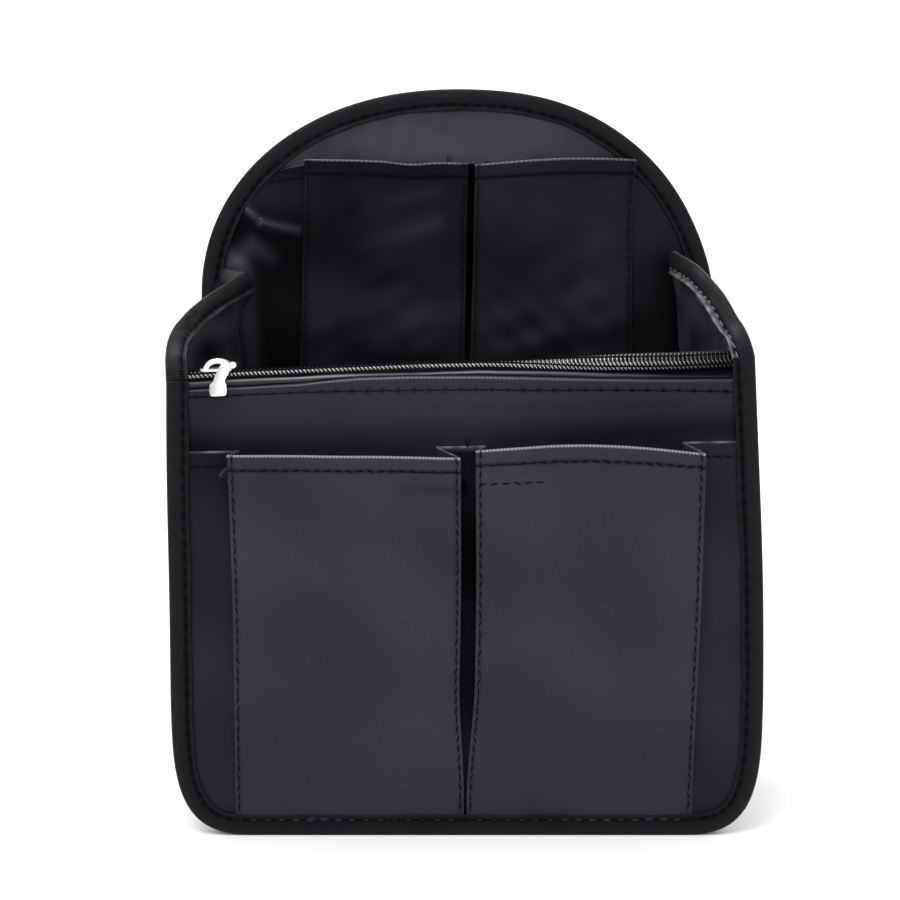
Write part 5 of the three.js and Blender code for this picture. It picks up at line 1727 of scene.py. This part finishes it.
class ORGANISER_OT_slider(PieceOperator, bpy.types.Operator):
    """Makes the nickel slider with its crown and pull tab"""

    bl_idname = "organiser.slider"
    bl_label = "Slider"

    def execute(self, context):
        bevel = context.scene.organiser_sizes.metal_bevel
        casting = (cut_plate(PLATE_OUTLINE, plate_place, 1.45, 2.3),
                   cut_plate(PLATE_OUTLINE, plate_place, -2.3, -1.45),
                   cut_plate(POST_OUTLINE, plate_place, -1.6, 1.6),
                   cut_plate(NUB_OUTLINE, crown_place, -1.0, 1.0))
        arch = (cut_plate(CROWN_OUTLINE, crown_place, -1.1, 1.1),)
        blade = (cut_plate(TAB_OUTLINE, tab_place, -0.5, 0.5),
                 cut_plate(EYE_OUTLINE, tab_place, -0.3, 3.6))
        for node, name, body, plates in (("slider_body", "slider_casting", "slider", casting),
                                         ("slider_crown", "slider_arch", "slider", arch),
                                         ("pull_tab", "pull_blade", "pull", blade)):
            show(name, metal_mesh(name, plates, bevel), "nickel plate", body, node)
        return {"FINISHED"}


class ORGANISER_OT_boards(PieceOperator, bpy.types.Operator):
    """Gives the two stiffening boards their finish"""

    bl_idname = "organiser.boards"
    bl_label = "Boards"

    def execute(self, context):
        for node in ("front_board", "back_board"):
            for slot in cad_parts[node].material_slots:
                slot.material = material_named("grey board")
        return {"FINISHED"}


class ORGANISER_OT_stage(PieceOperator, bpy.types.Operator):
    """Makes the floor, the lights, the sky and the camera"""

    bl_idname = "organiser.stage"
    bl_label = "Stage"

    def execute(self, context):
        make_floor()
        make_lights()
        make_camera(context.scene)
        return {"FINISHED"}


FLOOR_HALF = 6.0
SKY_FRONT = 0.22
SKY_BACK = 1.7
LIGHTS_AIM = (0, 0, 0.12)
# Each soft box with its place, width and power
SOFT_BOXES = (
    ("key", (-0.45, -0.9, 1.5), 0.8, 14.0),
    ("fill", (0.1, -1.5, 0.5), 0.6, 4.0),
)
CAMERA_PLACE = (-5.85 * MM, -673.2 * MM, 222.7 * MM)
CAMERA_PITCH = math.radians(9.568)
CAMERA_LENS = 74.84
CAMERA_SHIFT = 0.07


def make_floor():
    """A pale floor that runs out of sight."""
    mesh = bpy.data.meshes.new("floor")
    corners = [(-FLOOR_HALF, -FLOOR_HALF, 0), (FLOOR_HALF, -FLOOR_HALF, 0),
               (FLOOR_HALF, FLOOR_HALF, 0), (-FLOOR_HALF, FLOOR_HALF, 0)]
    mesh.from_pydata(corners, [], [(0, 1, 2, 3)])
    floor = put("floor", mesh)
    material, shader = new_material("pale floor")
    n = Nodes(material.node_tree)
    place = n.add("ShaderNodeTexCoord").outputs["Object"]
    grain = n.add("ShaderNodeTexNoise", {"Vector": place, "Scale": 3.0})
    tone = n.mix(grain.outputs["Fac"], (0.88, 0.88, 0.88, 1), (0.9, 0.9, 0.9, 1))
    n.link(tone, shader.inputs["Base Color"])
    shader.inputs["Roughness"].default_value = 0.6
    shader.inputs["Specular IOR Level"].default_value = 0.2
    mesh.materials.append(material)


def make_lights():
    """A sky that is bright behind and above the object and dimmer in front, and two soft boxes."""
    world = bpy.data.worlds.new("studio")
    bpy.context.scene.world = world
    world.use_nodes = True
    n = Nodes(world.node_tree)
    way = n.add("ShaderNodeTexCoord").outputs["Generated"]
    parts = n.add("ShaderNodeSeparateXYZ", {"Vector": way}).outputs
    height = n.math("MULTIPLY", parts["Z"], 1.2)
    level = n.add("ShaderNodeMapRange", {
        "Value": n.math("ADD", parts["Y"], height), "From Min": -0.3, "From Max": 0.6,
        "To Min": SKY_FRONT, "To Max": SKY_BACK}, interpolation_type="SMOOTHSTEP")
    back = world.node_tree.nodes["Background"]
    back.inputs["Color"].default_value = (1.0, 1.0, 1.0, 1.0)
    n.link(level.outputs["Result"], back.inputs["Strength"])
    for name, place, size, power in SOFT_BOXES:
        light = bpy.data.lights.new(name, "AREA")
        light.shape = "SQUARE"
        light.size = size
        light.energy = power
        lamp = put(name, light)
        lamp.location = place
        aim = Vector(LIGHTS_AIM) - Vector(place)
        lamp.rotation_euler = aim.to_track_quat("-Z", "Y").to_euler()


def make_camera(scene):
    """The camera of the photograph: in front, a little above, with a short upward shift."""
    data = bpy.data.cameras.new("camera")
    data.sensor_width = 36
    data.lens = CAMERA_LENS
    data.shift_y = CAMERA_SHIFT
    data.clip_start = 0.02
    data.clip_end = 30
    camera = put("camera", data)
    camera.location = CAMERA_PLACE
    camera.rotation_euler = (math.pi / 2 - CAMERA_PITCH, 0, 0)
    scene.camera = camera
    scene.view_settings.view_transform = "Standard"
    scene.view_settings.look = "None"


class ORGANISER_PT_sidebar(bpy.types.Panel):
    """Lists the organiser's pieces, sizes and colours"""

    bl_idname = "ORGANISER_PT_sidebar"
    bl_label = "Organiser insert"
    bl_space_type = "VIEW_3D"
    bl_region_type = "UI"
    bl_category = "Organiser"

    def draw(self, context):
        for group in (context.scene.organiser_sizes, context.scene.organiser_colours):
            column = self.layout.column()
            for key in group.__annotations__:
                column.prop(group, key)
        for operator in OPERATORS:
            self.layout.operator(operator.bl_idname)


OPERATORS = (
    ORGANISER_OT_stage,
    ORGANISER_OT_edge_tapes,
    ORGANISER_OT_front_cloth,
    ORGANISER_OT_front_pockets,
    ORGANISER_OT_back_cloth,
    ORGANISER_OT_back_pockets,
    ORGANISER_OT_walls,
    ORGANISER_OT_zip,
    ORGANISER_OT_slider,
    ORGANISER_OT_boards,
)
CLASSES = (OrganiserSizes, OrganiserColours, *OPERATORS, ORGANISER_PT_sidebar)


def register():
    """Makes the operators, panel and properties known."""
    for cls in CLASSES:
        bpy.utils.register_class(cls)
    bpy.types.Scene.organiser_sizes = PointerProperty(type=OrganiserSizes)
    bpy.types.Scene.organiser_colours = PointerProperty(type=OrganiserColours)


def unregister():
    """Takes them away again."""
    del bpy.types.Scene.organiser_colours
    del bpy.types.Scene.organiser_sizes
    for cls in reversed(CLASSES):
        bpy.utils.unregister_class(cls)


def main():
    """Makes every piece in order."""
    register()
    for operator in OPERATORS:
        group, name = operator.bl_idname.split(".")
        getattr(getattr(bpy.ops, group), name)()


if __name__ == "__main__":
    main()
